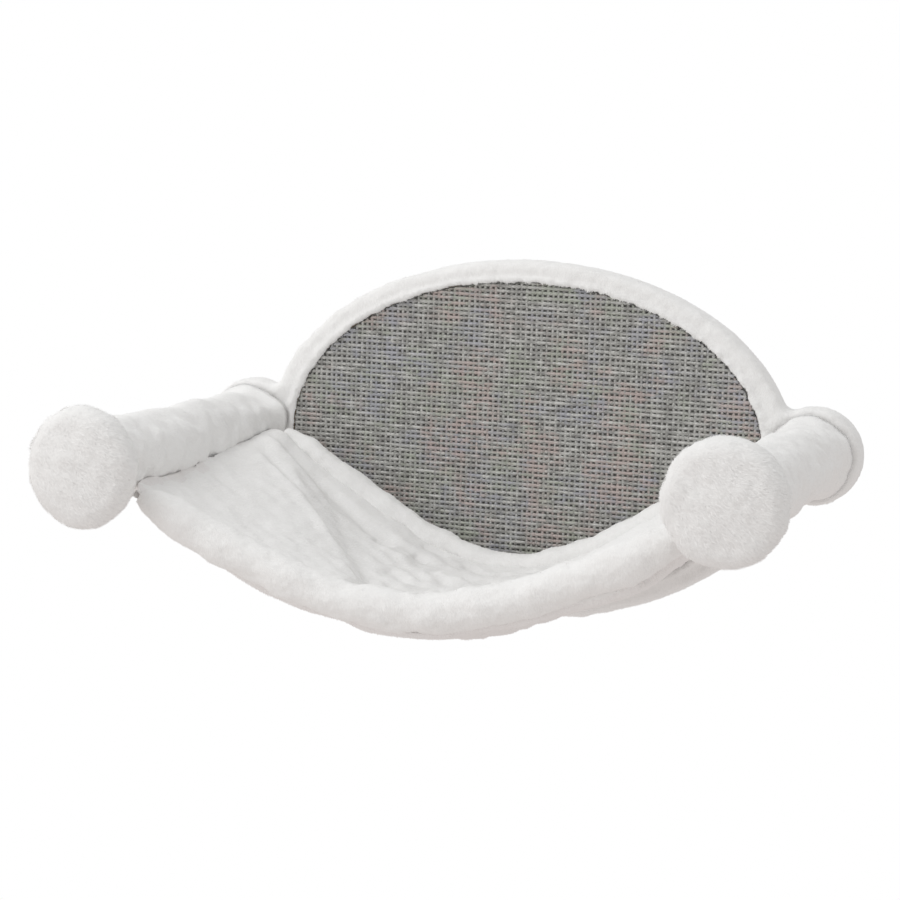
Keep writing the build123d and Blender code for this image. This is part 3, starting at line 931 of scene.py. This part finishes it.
@dataclass
class Sleeve:
    """The plush sleeve round one post, sewn to the sling."""

    name: str
    side: int
    radius: float = 28 * MM
    bore: float = 25.3 * MM
    back: float = 24.3 * MM
    front: float = 295.7 * MM
    skin_inset: float = 1.2 * MM
    flare: float = 5.2 * MM
    spread: float = 16 * MM
    cuts: int = 120
    gather: float = 0.25 * MM
    gather_pitch: float = 15.5 * MM
    swing: float = 12 * MM
    hump: float = 0.8 * MM
    lump: float = 0.5 * MM
    pinch: float = 0.9 * MM
    gathers: dict[str, float] = field(default_factory=lambda: {"left": 0.5, "right": 1.8})

    def build(self, stock: Stock) -> list[bpy.types.Object]:
        """Makes the gathered sleeve and its pile and sets them on the sling's body.

        Args:
            stock: the finishes.

        Returns:
            The sleeve and its pile.
        """
        deselect()
        middle = -(self.back + self.front) / 2
        length = self.front - self.back
        bpy.ops.mesh.primitive_cylinder_add(
            vertices=96,
            radius=self.radius - self.skin_inset,
            depth=length,
            end_fill_type="NOTHING",
            location=(self.side * POST_X, middle, 0),
            rotation=(math.pi / 2, 0, 0),
        )
        skin = added(f"{self.name}_sleeve_plush")
        with editing(skin):
            for number in range(1, self.cuts):
                bpy.ops.mesh.select_all(action="SELECT")
                place = (0, -self.back - number * length / self.cuts, 0)
                bpy.ops.mesh.bisect(plane_co=place, plane_no=(0, 1, 0))
        seed = 60 + self.side
        humps, lumps = Ripple(34 * MM, seed), Ripple(13 * MM, seed + 5)

        def folds(p: Array, n: Array) -> Array:
            """Shapes the sleeve's gathers, lumps and trumpet end.

            Args:
                p: the places.
                n: the skin's normals there, not used.

            Returns:
                How far each place stands out.
            """
            out = -p[:, 1]
            turn = np.arctan2(p[:, 2], self.side * (p[:, 0] - self.side * POST_X))
            swing = out + self.swing * np.sin(turn + 0.6)
            gather = np.sin(swing / self.gather_pitch * 2 * math.pi + 1.2 * humps(p))
            near = (0.2 + 0.8 * eased(out, 0.2, 0.28)) * self.gathers[self.name]
            pinch = eased(out, self.front - 0.006, self.front)
            flare = np.clip(1 - (out - self.back) / self.spread, 0, 1)
            soft = self.hump * humps(p) + self.lump * lumps(p)
            drawn = self.gather * gather * near + soft * (1 - pinch)
            return drawn - self.pinch * pinch + self.flare * flare**2.5

        push(skin, folds)
        wall = self.radius - self.skin_inset - self.bore - 0.3 * MM
        apply(skin, "SOLIDIFY", thickness=wall, offset=-1.0)
        points = points_of(skin)
        across = points[:, 0] - self.side * POST_X
        span = np.hypot(across, points[:, 2])
        held = np.maximum(span, self.bore + 0.02 * MM)
        points[:, 0] = self.side * POST_X + across * held / span
        points[:, 2] *= held / span
        points[:, 1] = np.minimum(points[:, 1], -self.back)
        put_points(skin, points)
        smooth_shaded(skin)
        dressed(skin, stock.plush)

        def much(p: Array, n: Array) -> Array:
            """Leaves the bore and the wall end without pile.

            Args:
                p: the places.
                n: the skin's normals there.

            Returns:
                The share of pile at each place.
            """
            across = p[:, 0] - self.side * POST_X
            outer = (n[:, 0] * across + n[:, 2] * p[:, 2]) > 0
            tapered = eased(-p[:, 1], self.back, self.back + 0.003)
            return tapered * (np.hypot(across, p[:, 2]) > self.bore + 0.4 * MM) * outer

        pile = Pile(f"{self.name}_sleeve_pile", seed=seed + 20).grow(
            skin, combed(0.0, 0.55, -0.55), much, stock.pile
        )
        for piece in (skin, pile):
            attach(piece, "sling")
        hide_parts(f"{self.name}_sleeve")
        2 * math.pi * (self.radius - self.skin_inset)
        return [skin, pile]


@dataclass
class BoardBorder:
    """The plush cover round the back board: its raised border, rim and turned-over flange."""

    skin_inset: float = 1.1 * MM
    face: float = 2.0 * MM
    mat_half_width: float = 189 * MM
    mat_half_height: float = 122 * MM
    flange_half_width: float = 186 * MM
    flange_half_height: float = 115 * MM
    bolt_opening: float = 13.4 * MM
    trim: float = 1.7 * MM
    socket: float = 34.5 * MM

    def inside(self, points: Array) -> Array:
        """Returns how far each place lies outside the mat's oval, as a share of its size."""
        return np.hypot(points[:, 0] / self.mat_half_width, points[:, 2] / self.mat_half_height) - 1

    def off_posts(self, points: Array) -> Array:
        """Returns how far each place lies from the nearer post's axis."""
        return np.hypot(np.abs(points[:, 0]) - POST_X, points[:, 2])

    def lay(self, points: Array, normals: Array) -> Array:
        """Combs the pile down round the border, over the mat's edge and towards the posts.

        Args:
            points: the places.
            normals: the cover's normals there, not used.

        Returns:
            The lay at each place.
        """
        inward = -points * [1, 0, 1]
        inward /= np.maximum(np.linalg.norm(inward, axis=1), 1e-6)[:, None]
        brink = 1 - eased(self.inside(points), 0.0, 0.045)
        post = points * [1, 0, 1]
        post[:, 0] -= np.sign(points[:, 0]) * POST_X
        off = self.off_posts(points)
        ring = 1 - eased(off, 0.026, 0.031)
        down = np.array([0.1, 0.4, -0.8])
        inward = (0.35 + 1.6 * brink)[:, None] * inward
        return inward + down - (2.0 * ring / np.maximum(off, 1e-6))[:, None] * post

    def trim_flange(self, cover: bpy.types.Object) -> None:
        """Draws the flange's edges on the back into clean lines round the board and the bolts.

        Args:
            cover: the cover.
        """
        points = points_of(cover)
        back = -points[:, 1] < 3 * MM
        span = np.hypot(points[:, 0], points[:, 2])
        line = span / np.hypot(points[:, 0] / self.flange_half_width, points[:, 2] / self.flange_half_height)
        edge = back & (np.abs(span - line) < self.trim)
        points[:, ::2] *= np.where(edge, line / span, 1)[:, None]
        post = np.sign(points[:, 0]) * POST_X
        off = self.off_posts(points)
        edge = back & (np.abs(off - self.bolt_opening) < self.trim)
        share = np.where(edge, self.bolt_opening / off, 1)
        points[:, 0] = post + (points[:, 0] - post) * share
        points[:, 2] *= share
        put_points(cover, points)

    def build(self, stock: Stock) -> list[bpy.types.Object]:
        """Makes the cover and its pile and sets them on the frame.

        Args:
            stock: the finishes.

        Returns:
            The cover and its pile.
        """
        cover = copy_of_nodes("board_cover_plush", "board_cover")
        finer(cover, self.face, 2)
        humps, lumps, bits = Ripple(40 * MM, 5), Ripple(14 * MM, 6), Ripple(5 * MM, 7)

        def shape(p: Array, n: Array) -> Array:
            """Sinks the cover under its pile and leaves it proud along the mat's edge.

            Args:
                p: the places.
                n: the skin's normals there, not used.

            Returns:
                How far each place stands out.
            """
            outer = eased(-p[:, 1], 0.001, 0.006)
            off = self.off_posts(p)
            brink = (1 - eased(self.inside(p), 0.02, 0.045)) * eased(-p[:, 1], 0.017, 0.0195)
            brink *= eased(off, 0.033, 0.038)
            sunk = -self.skin_inset + 0.3 * MM * humps(p) + 0.22 * MM * lumps(p) + 0.15 * MM * bits(p)
            proud = 0.7 * MM + 0.5 * MM * lumps(p) + 0.4 * MM * bits(p)
            return outer * (sunk * (1 - brink) + proud * brink)

        push(cover, shape)
        self.trim_flange(cover)
        smooth_shaded(cover)
        dressed(cover, stock.plush)

        def much(p: Array, n: Array) -> Array:
            """Leaves the back and what the mat and the sleeves' ends hide without pile.

            Args:
                p: the places.
                n: the skin's normals there, not used.

            Returns:
                The share of pile at each place.
            """
            out = -p[:, 1]
            face = eased(out, 0.0035, 0.007)
            hidden = (self.inside(p) < 0.012) & (out < 0.0195)
            socket = (self.off_posts(p) < self.socket) & (out > 0.019)
            return face * ~hidden * ~socket

        pile = Pile("board_cover_pile", 0.73 * MM, seed=11).grow(cover, self.lay, much, stock.pile)
        for piece in (cover, pile):
            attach(piece, "frame")
        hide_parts("board_cover", "cover_foam")
        return [cover, pile]


@dataclass
class Sling:
    """The padded plush sling with its front and rear rolls."""

    half: float = 206 * MM
    skin_inset: float = 1.0 * MM
    tuck: float = 3.2 * MM
    crease: float = 14 * MM
    belly: float = 7 * MM
    belly_place: float = 165 * MM
    belly_width: float = 30 * MM

    def strokes(self) -> list[Stroke]:
        """Draws the sling's folds beyond the two that its solid has.

        Returns:
            The strokes, on one half and in millimetres.
        """
        return [
            Stroke(((190, -102), (169, -115), (148, -126), (120, -147), (80, -182), (56, -225)), 7.5, 1.6),
            Stroke(((186, -99), (167, -107), (151, -112), (131, -121), (119, -132), (100, -146)), 6.0, -2.2),
            Stroke(((190, -78), (171, -83), (156, -87), (143, -89), (130, -94), (116, -106)), 7.5, 2.0),
            Stroke(
                ((184, -66), (164, -66), (149, -68), (133, -72), (115, -78), (98, -84), (70, -80)),
                7.5,
                -3.2,
            ),
            Stroke(((92, -92), (84, -92), (76, -94)), 7.0, -2.6),
            Stroke(((62, -86), (57, -86), (50, -88)), 6.0, -3.2),
            Stroke(((188, -172), (176, -181), (163, -184)), 4.5, -1.6),
            Stroke(((160, -212), (144, -211), (128, -206)), 6.0, -1.2),
            Stroke(((64, -62), (54, -58), (42, -58)), 4.5, -2.0),
            Stroke(((30, -64), (12, -74), (0, -78)), 5.0, -2.0),
            Stroke(((46, -122), (28, -116), (8, -124)), 8.0, 2.0),
            Stroke(((66, -140), (44, -148), (22, -150)), 8.0, -2.0),
        ]

    def hug_hem(self, pad: bpy.types.Object, node: str) -> None:
        """Draws the pad's edge in under the skin of a roll, so that no slit opens between them.

        Args:
            pad: the pad.
            node: the roll's node.
        """
        roll = points_of(FRAME["nodes"][node])
        places = np.linspace(roll[:, 0].min(), roll[:, 0].max(), 60)
        near = [roll[np.abs(roll[:, 0] - place) < 6 * MM][:, 1:] for place in places]
        low, high = (np.array([edge(slab, axis=0) for slab in near]) for edge in (np.min, np.max))
        points = points_of(pad)
        middle = [np.interp(points[:, 0], places, (low + high)[:, axis] / 2) for axis in (0, 1)]
        reach = [np.interp(points[:, 0], places, (high - low)[:, axis] / 2) for axis in (0, 1)]
        off = points[:, 1:] - np.stack(middle, axis=1)
        span = np.hypot(off[:, 0] / reach[0], off[:, 1] / reach[1])
        gap = (span - 1) * reach[0]
        pull = self.tuck * (1 - eased(gap, 1.5 * MM, 5.5 * MM)) * eased(gap, -6 * MM, -1 * MM)
        points[:, 1:] -= off / np.maximum(np.linalg.norm(off, axis=1), 1e-6)[:, None] * pull[:, None]
        crease = (np.abs(gap) < self.crease) & (normals_of(pad)[:, 2] < 0.5)
        put_points(pad, points)
        group = pad.vertex_groups.new(name=node)
        group.add(np.flatnonzero(crease).tolist(), 1.0, "REPLACE")
        apply(pad, "SMOOTH", factor=0.5, iterations=24, vertex_group=node)
        pad.vertex_groups.clear()

    def hug_posts(self, pad: bpy.types.Object) -> None:
        """Draws the pad's sides in under the skins of the sleeves.

        Args:
            pad: the pad.
        """
        points = points_of(pad)
        post = np.sign(points[:, 0]) * POST_X
        across = points[:, 0] - post
        span = np.hypot(across, points[:, 2])
        pull = self.tuck * (1 - eased(span, 29.5 * MM, 33 * MM))
        share = np.maximum(span - pull, 26 * MM) / span
        points[:, 0] = post + across * np.where(pull > 0, share, 1)
        points[:, 2] *= np.where(pull > 0, share, 1)
        put_points(pad, points)

    def build_pad(self, stock: Stock) -> list[bpy.types.Object]:
        """Makes the pad between the rolls, with its folds and its piles.

        Args:
            stock: the finishes.

        Returns:
            The pad and its piles.
        """
        pad = copy_of_nodes("sling_pad", "sling_top", "sling_wadding", "sling_underside")
        finer(pad, 2.0 * MM, 4)
        strokes = self.strokes()
        humps, lumps, bits = Ripple(45 * MM, 71), Ripple(17 * MM, 72), Ripple(6 * MM, 73)

        def shape(p: Array, n: Array) -> Array:
            """Shapes the pad's folds, its soft relief and its belly.

            Args:
                p: the places.
                n: the skin's normals there.

            Returns:
                How far each place stands out.
            """
            up = eased(n[:, 2], 0.1, 0.6)
            down = eased(-n[:, 2], 0.1, 0.6)
            side = np.where(p[:, 0] < 0, -1, 1)
            lift = np.zeros(len(p))
            for stroke in strokes:
                lift += np.where(side < 0, stroke.lift(p, -1), stroke.lift(p, 1))
            middle = np.exp(-((p[:, 0] / 0.07) ** 2)) * eased(-p[:, 1], 0.06, 0.12)
            relief = 0.5 * MM * humps(p) + (0.25 + 0.7 * middle) * MM * lumps(p) + 0.06 * MM * bits(p)
            under = np.maximum(1.0 * MM * humps(p) + 0.5 * MM * lumps(p), 0)
            under *= 1 - 0.85 * eased(-p[:, 1], 0.24, 0.262)
            edge = eased(self.half - np.abs(p[:, 0]), 0.004, 0.02)
            ends = eased(-p[:, 1], 0.045, 0.06) * (1 - eased(-p[:, 1], 0.258, 0.268))
            belly = self.belly * np.exp(-(((p[:, 0] - self.belly_place) / self.belly_width) ** 2))
            belly *= eased(-n[:, 2], -0.1, 0.5)
            top = up * (lift * (0.5 + 0.8 * ends) + relief)
            return -self.skin_inset + edge * (top + down * under) + belly

        push(pad, shape)
        for name in ("front", "rear"):
            self.hug_hem(pad, f"{name}_hem")
        self.hug_posts(pad)
        smooth_shaded(pad)
        # Faces that look down get the shaded lining: painted shade under the pad.
        dressed(pad, stock.plush, stock.shaded_lining)
        under = np.array([polygon.normal.z < -0.2 for polygon in pad.data.polygons], np.int32)
        pad.data.polygons.foreach_set("material_index", under)

        def rim(p: Array) -> Array:
            """Returns 0 under the sleeves and 1 clear of them."""
            post = np.hypot(np.abs(p[:, 0]) - POST_X, p[:, 2])
            return eased(post, 0.0295, 0.032)

        made = [pad]
        for name, side in SIDES.items():
            made.append(
                Pile(f"sling_pile_{name}", 0.78 * MM, seed=81 + side).grow(
                    pad,
                    combed(-0.5 * side, 0.5, 0.0),
                    lambda p, n: eased(n[:, 2], -0.1, 0.2) * rim(p) * (side * p[:, 0] > 0),
                    stock.pile,
                )
            )
        # The down-facing pile takes the shaded lining pile: painted shade on the pad's underside.
        made.append(
            Pile("sling_lining_pile", 1.0 * MM, 2.8 * MM, 1.0 * MM, seed=84).grow(
                pad,
                combed(0.0, 0.7, -0.3),
                lambda p, n: eased(-n[:, 2], 0.0, 0.3) * rim(p),
                stock.shaded_lining_pile,
            )
        )
        for piece in made:
            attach(piece, "sling")
        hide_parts("sling_top", "sling_wadding", "sling_underside")
        return made

    def build_hem(self, name: str, stock: Stock, seed: int) -> list[bpy.types.Object]:
        """Makes one roll along an edge of the sling, with its pile.

        Args:
            name: the roll's name, front or rear.
            stock: the finishes.
            seed: which lumps it has.

        Returns:
            The roll and its pile.
        """
        roll = copy_of_nodes(f"{name}_hem_roll", f"{name}_hem", f"{name}_hem_filling")
        finer(roll, 1.9 * MM, 3)
        humps, lumps, bits = Ripple(38 * MM, seed), Ripple(14 * MM, seed + 1), Ripple(5 * MM, seed + 2)
        push(
            roll,
            lambda p, n: -self.skin_inset + 0.6 * MM * humps(p) + 0.3 * MM * lumps(p) + 0.15 * MM * bits(p),
        )
        smooth_shaded(roll)
        dressed(roll, stock.plush)
        pile = Pile(f"{name}_hem_pile", seed=seed + 9).grow(roll, combed(0.2, 0.2, -0.8), whole, stock.pile)
        for piece in (roll, pile):
            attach(piece, "sling")
        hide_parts(f"{name}_hem", f"{name}_hem_filling")
        return [roll, pile]

    def build(self, stock: Stock) -> list[bpy.types.Object]:
        """Makes the pad and both rolls.

        Args:
            stock: the finishes.

        Returns:
            Their pieces.
        """
        made = self.build_pad(stock)
        made += self.build_hem("front", stock, 90)
        made += self.build_hem("rear", stock, 95)
        return made


class Course(Enum):
    """Which way a set of the mat's yarns runs."""

    WEFT = "across"
    WARP = "up"


@dataclass
class WovenMat:
    """The coarse woven mat: thick weft yarns over thinner warps, on a backing whose dark grey paints the
    shade deep in the weave's holes.
    """

    half_width: float = 189 * MM
    half_height: float = 122 * MM
    back: float = 14 * MM
    front: float = 19.5 * MM
    row: float = 3.8 * MM
    column: float = 4.2 * MM
    weft: float = 1.3 * MM
    warp: float = 1.2 * MM
    lean: float = math.radians(-1.2)
    drift: float = 0.25 * MM
    drift_length: float = 31 * MM
    stand_off: float = 10.0

    def cut(self, piece: bpy.types.Object, margin: float) -> None:
        """Trims a grid of yarns to the mat's oval and closes the cut ends.

        Args:
            piece: the yarns.
            margin: how far inside the oval they end.
        """
        mesh = bmesh.new()
        mesh.from_mesh(piece.data)
        outside = [
            v
            for v in mesh.verts
            if math.hypot(v.co.x / (self.half_width - margin), v.co.z / (self.half_height - margin)) > 1
        ]
        bmesh.ops.delete(mesh, geom=outside, context="VERTS")
        bmesh.ops.delete(mesh, geom=[v for v in mesh.verts if not v.link_faces], context="VERTS")
        bmesh.ops.holes_fill(mesh, edges=[e for e in mesh.edges if e.is_boundary], sides=12)
        mesh.to_mesh(piece.data)
        mesh.free()

    def build_yarns(self, name: str, course: Course, material: bpy.types.Material) -> bpy.types.Object:
        """Makes all the yarns that run one way.

        Args:
            name: the piece's name.
            course: which way they run.
            material: the yarn's finish.

        Returns:
            The yarns as one piece.
        """
        across = course is Course.WEFT
        sides, steps = (5, 4) if across else (4, 3)
        pitch, other = (self.row, self.column) if across else (self.column, self.row)
        reach = self.half_width if across else self.half_height
        span = self.half_height if across else self.half_width
        length = 2 * (reach // other + 2) * other
        count = int(2 * span / pitch) + 3
        cuts = int(length / other) * steps
        deselect()
        bpy.ops.mesh.primitive_cylinder_add(
            vertices=sides, radius=1.0, depth=length, end_fill_type="NOTHING", rotation=(0, math.pi / 2, 0)
        )
        yarns = added(name)
        mesh = bmesh.new()
        mesh.from_mesh(yarns.data)
        long_edges = [e for e in mesh.edges if abs(e.verts[0].co.x - e.verts[1].co.x) > length / 2]
        bmesh.ops.subdivide_edges(mesh, edges=long_edges, cuts=cuts - 1, use_grid_fill=True)
        mesh.to_mesh(yarns.data)
        mesh.free()
        apply(
            yarns,
            "ARRAY",
            count=count,
            use_relative_offset=False,
            use_constant_offset=True,
            constant_offset_displace=(0, 0, self.stand_off),
        )
        points = points_of(yarns)
        number = np.floor(points[:, 2] / self.stand_off + 0.5).astype(int)
        ring_z = points[:, 2] - number * self.stand_off
        ring_y = points[:, 1]
        source = np.random.default_rng(400 + across)
        lump = 0.5 + 0.5 * np.cos(2 * math.pi * points[:, 0] / other)
        jitter = source.normal(0, 1, (count + 2, cuts + 8))
        column = np.clip(np.round((points[:, 0] + length / 2) / length * cuts).astype(int), 0, cuts + 7)
        rough = jitter[np.clip(number, 0, count), column]
        if across:
            thick = self.weft * (0.84 + 0.28 * lump + 0.1 * rough)
            high = 0.5 * MM * (lump - 0.5) + 0.1 * MM * rough
            base = self.front - 1.3 * MM
        else:
            thick = self.warp * (1.0 + 0.12 * rough)
            high = -0.9 * MM * (lump - 0.5) + 0.08 * MM * rough
            base = self.front - 1.75 * MM
        place = (number - (count - 1) / 2) * pitch
        drift = self.drift * np.sin(points[:, 0] / self.drift_length + number * 1.7)
        placed = np.empty_like(points)
        along = points[:, 0]
        side_place = place + drift + ring_z * thick
        out = base + high + ring_y * thick * 0.9
        placed[:, 0] = along if across else side_place
        placed[:, 2] = side_place if across else along
        placed[:, 1] = -out
        placed[:, 2] += math.sin(self.lean) * placed[:, 0]
        put_points(yarns, placed)
        self.cut(yarns, 0.4 * MM)
        with editing(yarns):
            bpy.ops.mesh.normals_make_consistent(inside=False)
        smooth_shaded(yarns)
        return dressed(yarns, material)

    def build(self, stock: Stock) -> list[bpy.types.Object]:
        """Makes the backing and both sets of yarns and sets them on the frame.

        Args:
            stock: the finishes.

        Returns:
            The backing and the yarns.
        """
        deselect()
        depth = self.front - self.back - 2.6 * MM
        bpy.ops.mesh.primitive_cylinder_add(
            vertices=128,
            radius=1.0,
            depth=1.0,
            location=(0, -(self.back + depth / 2), 0),
            rotation=(math.pi / 2, 0, 0),
            scale=(self.half_width, self.half_height, depth),
        )
        # The backing's dark grey is painted shade for the weave's holes.
        backing = dressed(added("mat_backing"), stock.backing)
        weft = self.build_yarns("mat_weft", Course.WEFT, stock.weft)
        warp = self.build_yarns("mat_warp", Course.WARP, stock.warp)
        for piece in (backing, weft, warp):
            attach(piece, "frame")
        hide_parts("scratching_mat")
        return [backing, weft, warp]


@dataclass
class Hardware:
    """The rigid nodes, which keep their CAD shape and get their real finish."""

    finishes: dict[str, str] = field(
        default_factory=lambda: {
            "back_board": "board",
            "cover_staples": "zinc",
            "hanger_screws": "steel",
            "cover_foam": "foam",
        }
    )

    def build(self, stock: Stock) -> list[bpy.types.Object]:
        """Dresses each node that keeps its shape.

        Args:
            stock: the finishes.

        Returns:
            The nodes.
        """
        finishes = dict(self.finishes)
        for name in SIDES:
            finishes |= {
                f"{name}_hanger": "zinc",
                f"{name}_post_tube": "tube",
                f"{name}_post_rear_plug": "wood",
                f"{name}_post_front_plug": "wood",
                f"{name}_post_rear_insert": "zinc",
                f"{name}_post_front_insert": "zinc",
                f"{name}_post_bolt": "steel",
                f"{name}_post_washer": "zinc",
                f"{name}_disc_core": "board",
                f"{name}_disc_stud": "steel",
            }
        made = []
        for node, finish in finishes.items():
            piece = FRAME["nodes"][node]
            for slot in piece.material_slots:
                slot.material = getattr(stock, finish)
            if not piece.material_slots:
                piece.data.materials.append(getattr(stock, finish))
            made.append(piece)
        return made


@dataclass
class Studio:
    """The camera at the photograph's angle, the floor, the lamps and the white surroundings."""

    yaw: float = 0.32449
    pitch: float = 0.11635
    roll: float = 0.02145
    focal_px: float = 2504.85
    eye: tuple[float, float, float] = (0.56105, -1.85727, 0.21569)
    image: float = 900.0
    floor_level: float = -2.2
    floor_colour: Colour = (0.90, 0.85, 0.83)
    surroundings: float = 0.68
    white: Colour = (1.0, 1.0, 1.0)
    aim: tuple[float, float, float] = (0.0, -0.15, 0.0)
    lamps: tuple[tuple[str, tuple[float, float, float], float, float], ...] = (
        ("key", (-1.5, -1.1, 2.4), 1.8, 24.0),
        ("fill", (-1.9, -2.1, 0.5), 2.0, 10.0),
    )

    def build_camera(self) -> None:
        """Sets the camera where the photograph was taken from."""
        lens = bpy.data.cameras.new("camera")
        lens.sensor_fit = "HORIZONTAL"
        lens.sensor_width = 36.0
        lens.lens = self.focal_px / self.image * lens.sensor_width
        lens.clip_start, lens.clip_end = 0.05, 60.0
        camera = bpy.data.objects.new("camera", lens)
        bpy.context.scene.collection.objects.link(camera)
        ahead = Vector(
            (
                -math.sin(self.yaw) * math.cos(self.pitch),
                math.cos(self.yaw) * math.cos(self.pitch),
                -math.sin(self.pitch),
            )
        )
        level = Vector((math.cos(self.yaw), math.sin(self.yaw), 0.0))
        above = level.cross(ahead)
        right = math.cos(self.roll) * level + math.sin(self.roll) * above
        up = -math.sin(self.roll) * level + math.cos(self.roll) * above
        turn = Matrix((right, up, -ahead)).transposed().to_4x4()
        camera.matrix_world = Matrix.Translation(self.eye) @ turn
        bpy.context.scene.camera = camera

    def build_lamp(self, name: str, place: Sequence[float], size: float, power: float) -> None:
        """Adds a soft square lamp that faces the hammock.

        Args:
            name: the lamp's name.
            place: where it stands.
            size: its width.
            power: its strength in watts.
        """
        light = bpy.data.lights.new(name, "AREA")
        light.shape = "SQUARE"
        light.size = size
        light.energy = power
        lamp = bpy.data.objects.new(name, light)
        bpy.context.scene.collection.objects.link(lamp)
        aim = Vector(self.aim) - Vector(place)
        lamp.matrix_world = Matrix.Translation(place) @ aim.to_track_quat("-Z", "Y").to_matrix().to_4x4()

    def build_world(self) -> None:
        """Makes the surroundings: soft light, and plain white where the camera sees them."""
        world = bpy.data.worlds.new("surroundings")
        bpy.context.scene.world = world
        board = emptied(world)
        soft, white = (
            board.node("ShaderNodeBackground", {}, {"Color": self.white, "Strength": strength}).out()
            for strength in (self.surroundings, 1.0)
        )
        both = board.node("ShaderNodeMixShader", {}, {0: board.seen(), 1: soft, 2: white}).out()
        board.node("ShaderNodeOutputWorld", {}, {0: both})

    def build_floor(self) -> None:
        """Lays a large pale floor well below the hammock."""
        deselect()
        bpy.ops.mesh.primitive_plane_add(size=60.0, location=(0, 0, self.floor_level))
        floor = added("floor")
        material = bpy.data.materials.new("floor_paint")
        board = emptied(material)
        paint = board.node("ShaderNodeBsdfDiffuse", {}, {"Color": self.floor_colour}).out()
        white = board.node("ShaderNodeEmission", {}, {"Color": self.white, "Strength": 1.0}).out()
        both = board.node("ShaderNodeMixShader", {}, {0: board.seen(), 1: paint, 2: white}).out()
        board.node("ShaderNodeOutputMaterial", {}, {"Surface": both})
        dressed(floor, material)

    def build(self) -> None:
        """Sets up the whole studio."""
        bpy.context.scene.view_settings.view_transform = "Standard"
        self.build_camera()
        self.build_world()
        self.build_floor()
        for lamp in self.lamps:
            self.build_lamp(*lamp)


FRAME: dict = {}


def main() -> None:
    """Builds the studio and every part of the hammock."""
    logging.basicConfig(level=logging.INFO, format="%(name)s: %(message)s")
    FRAME.update(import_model())
    Studio().build()
    stock = Stock()
    builders: list[tuple[str, Callable[[Stock], Iterable[bpy.types.Object]]]] = [
        ("hardware", Hardware().build),
        ("mat", WovenMat().build),
        ("border", BoardBorder().build),
        ("sling", Sling().build),
    ]
    for name, side in SIDES.items():
        builders.append((f"{name} sleeve", Sleeve(name, side).build))
        builders.append((f"{name} disc", EndDisc(name, side).build))
    for name, build in builders:
        for piece in build(stock):
            LOG.info("%s: %s, %d faces", name, piece.name, len(piece.data.polygons))


if __name__ == "__main__":
    main()
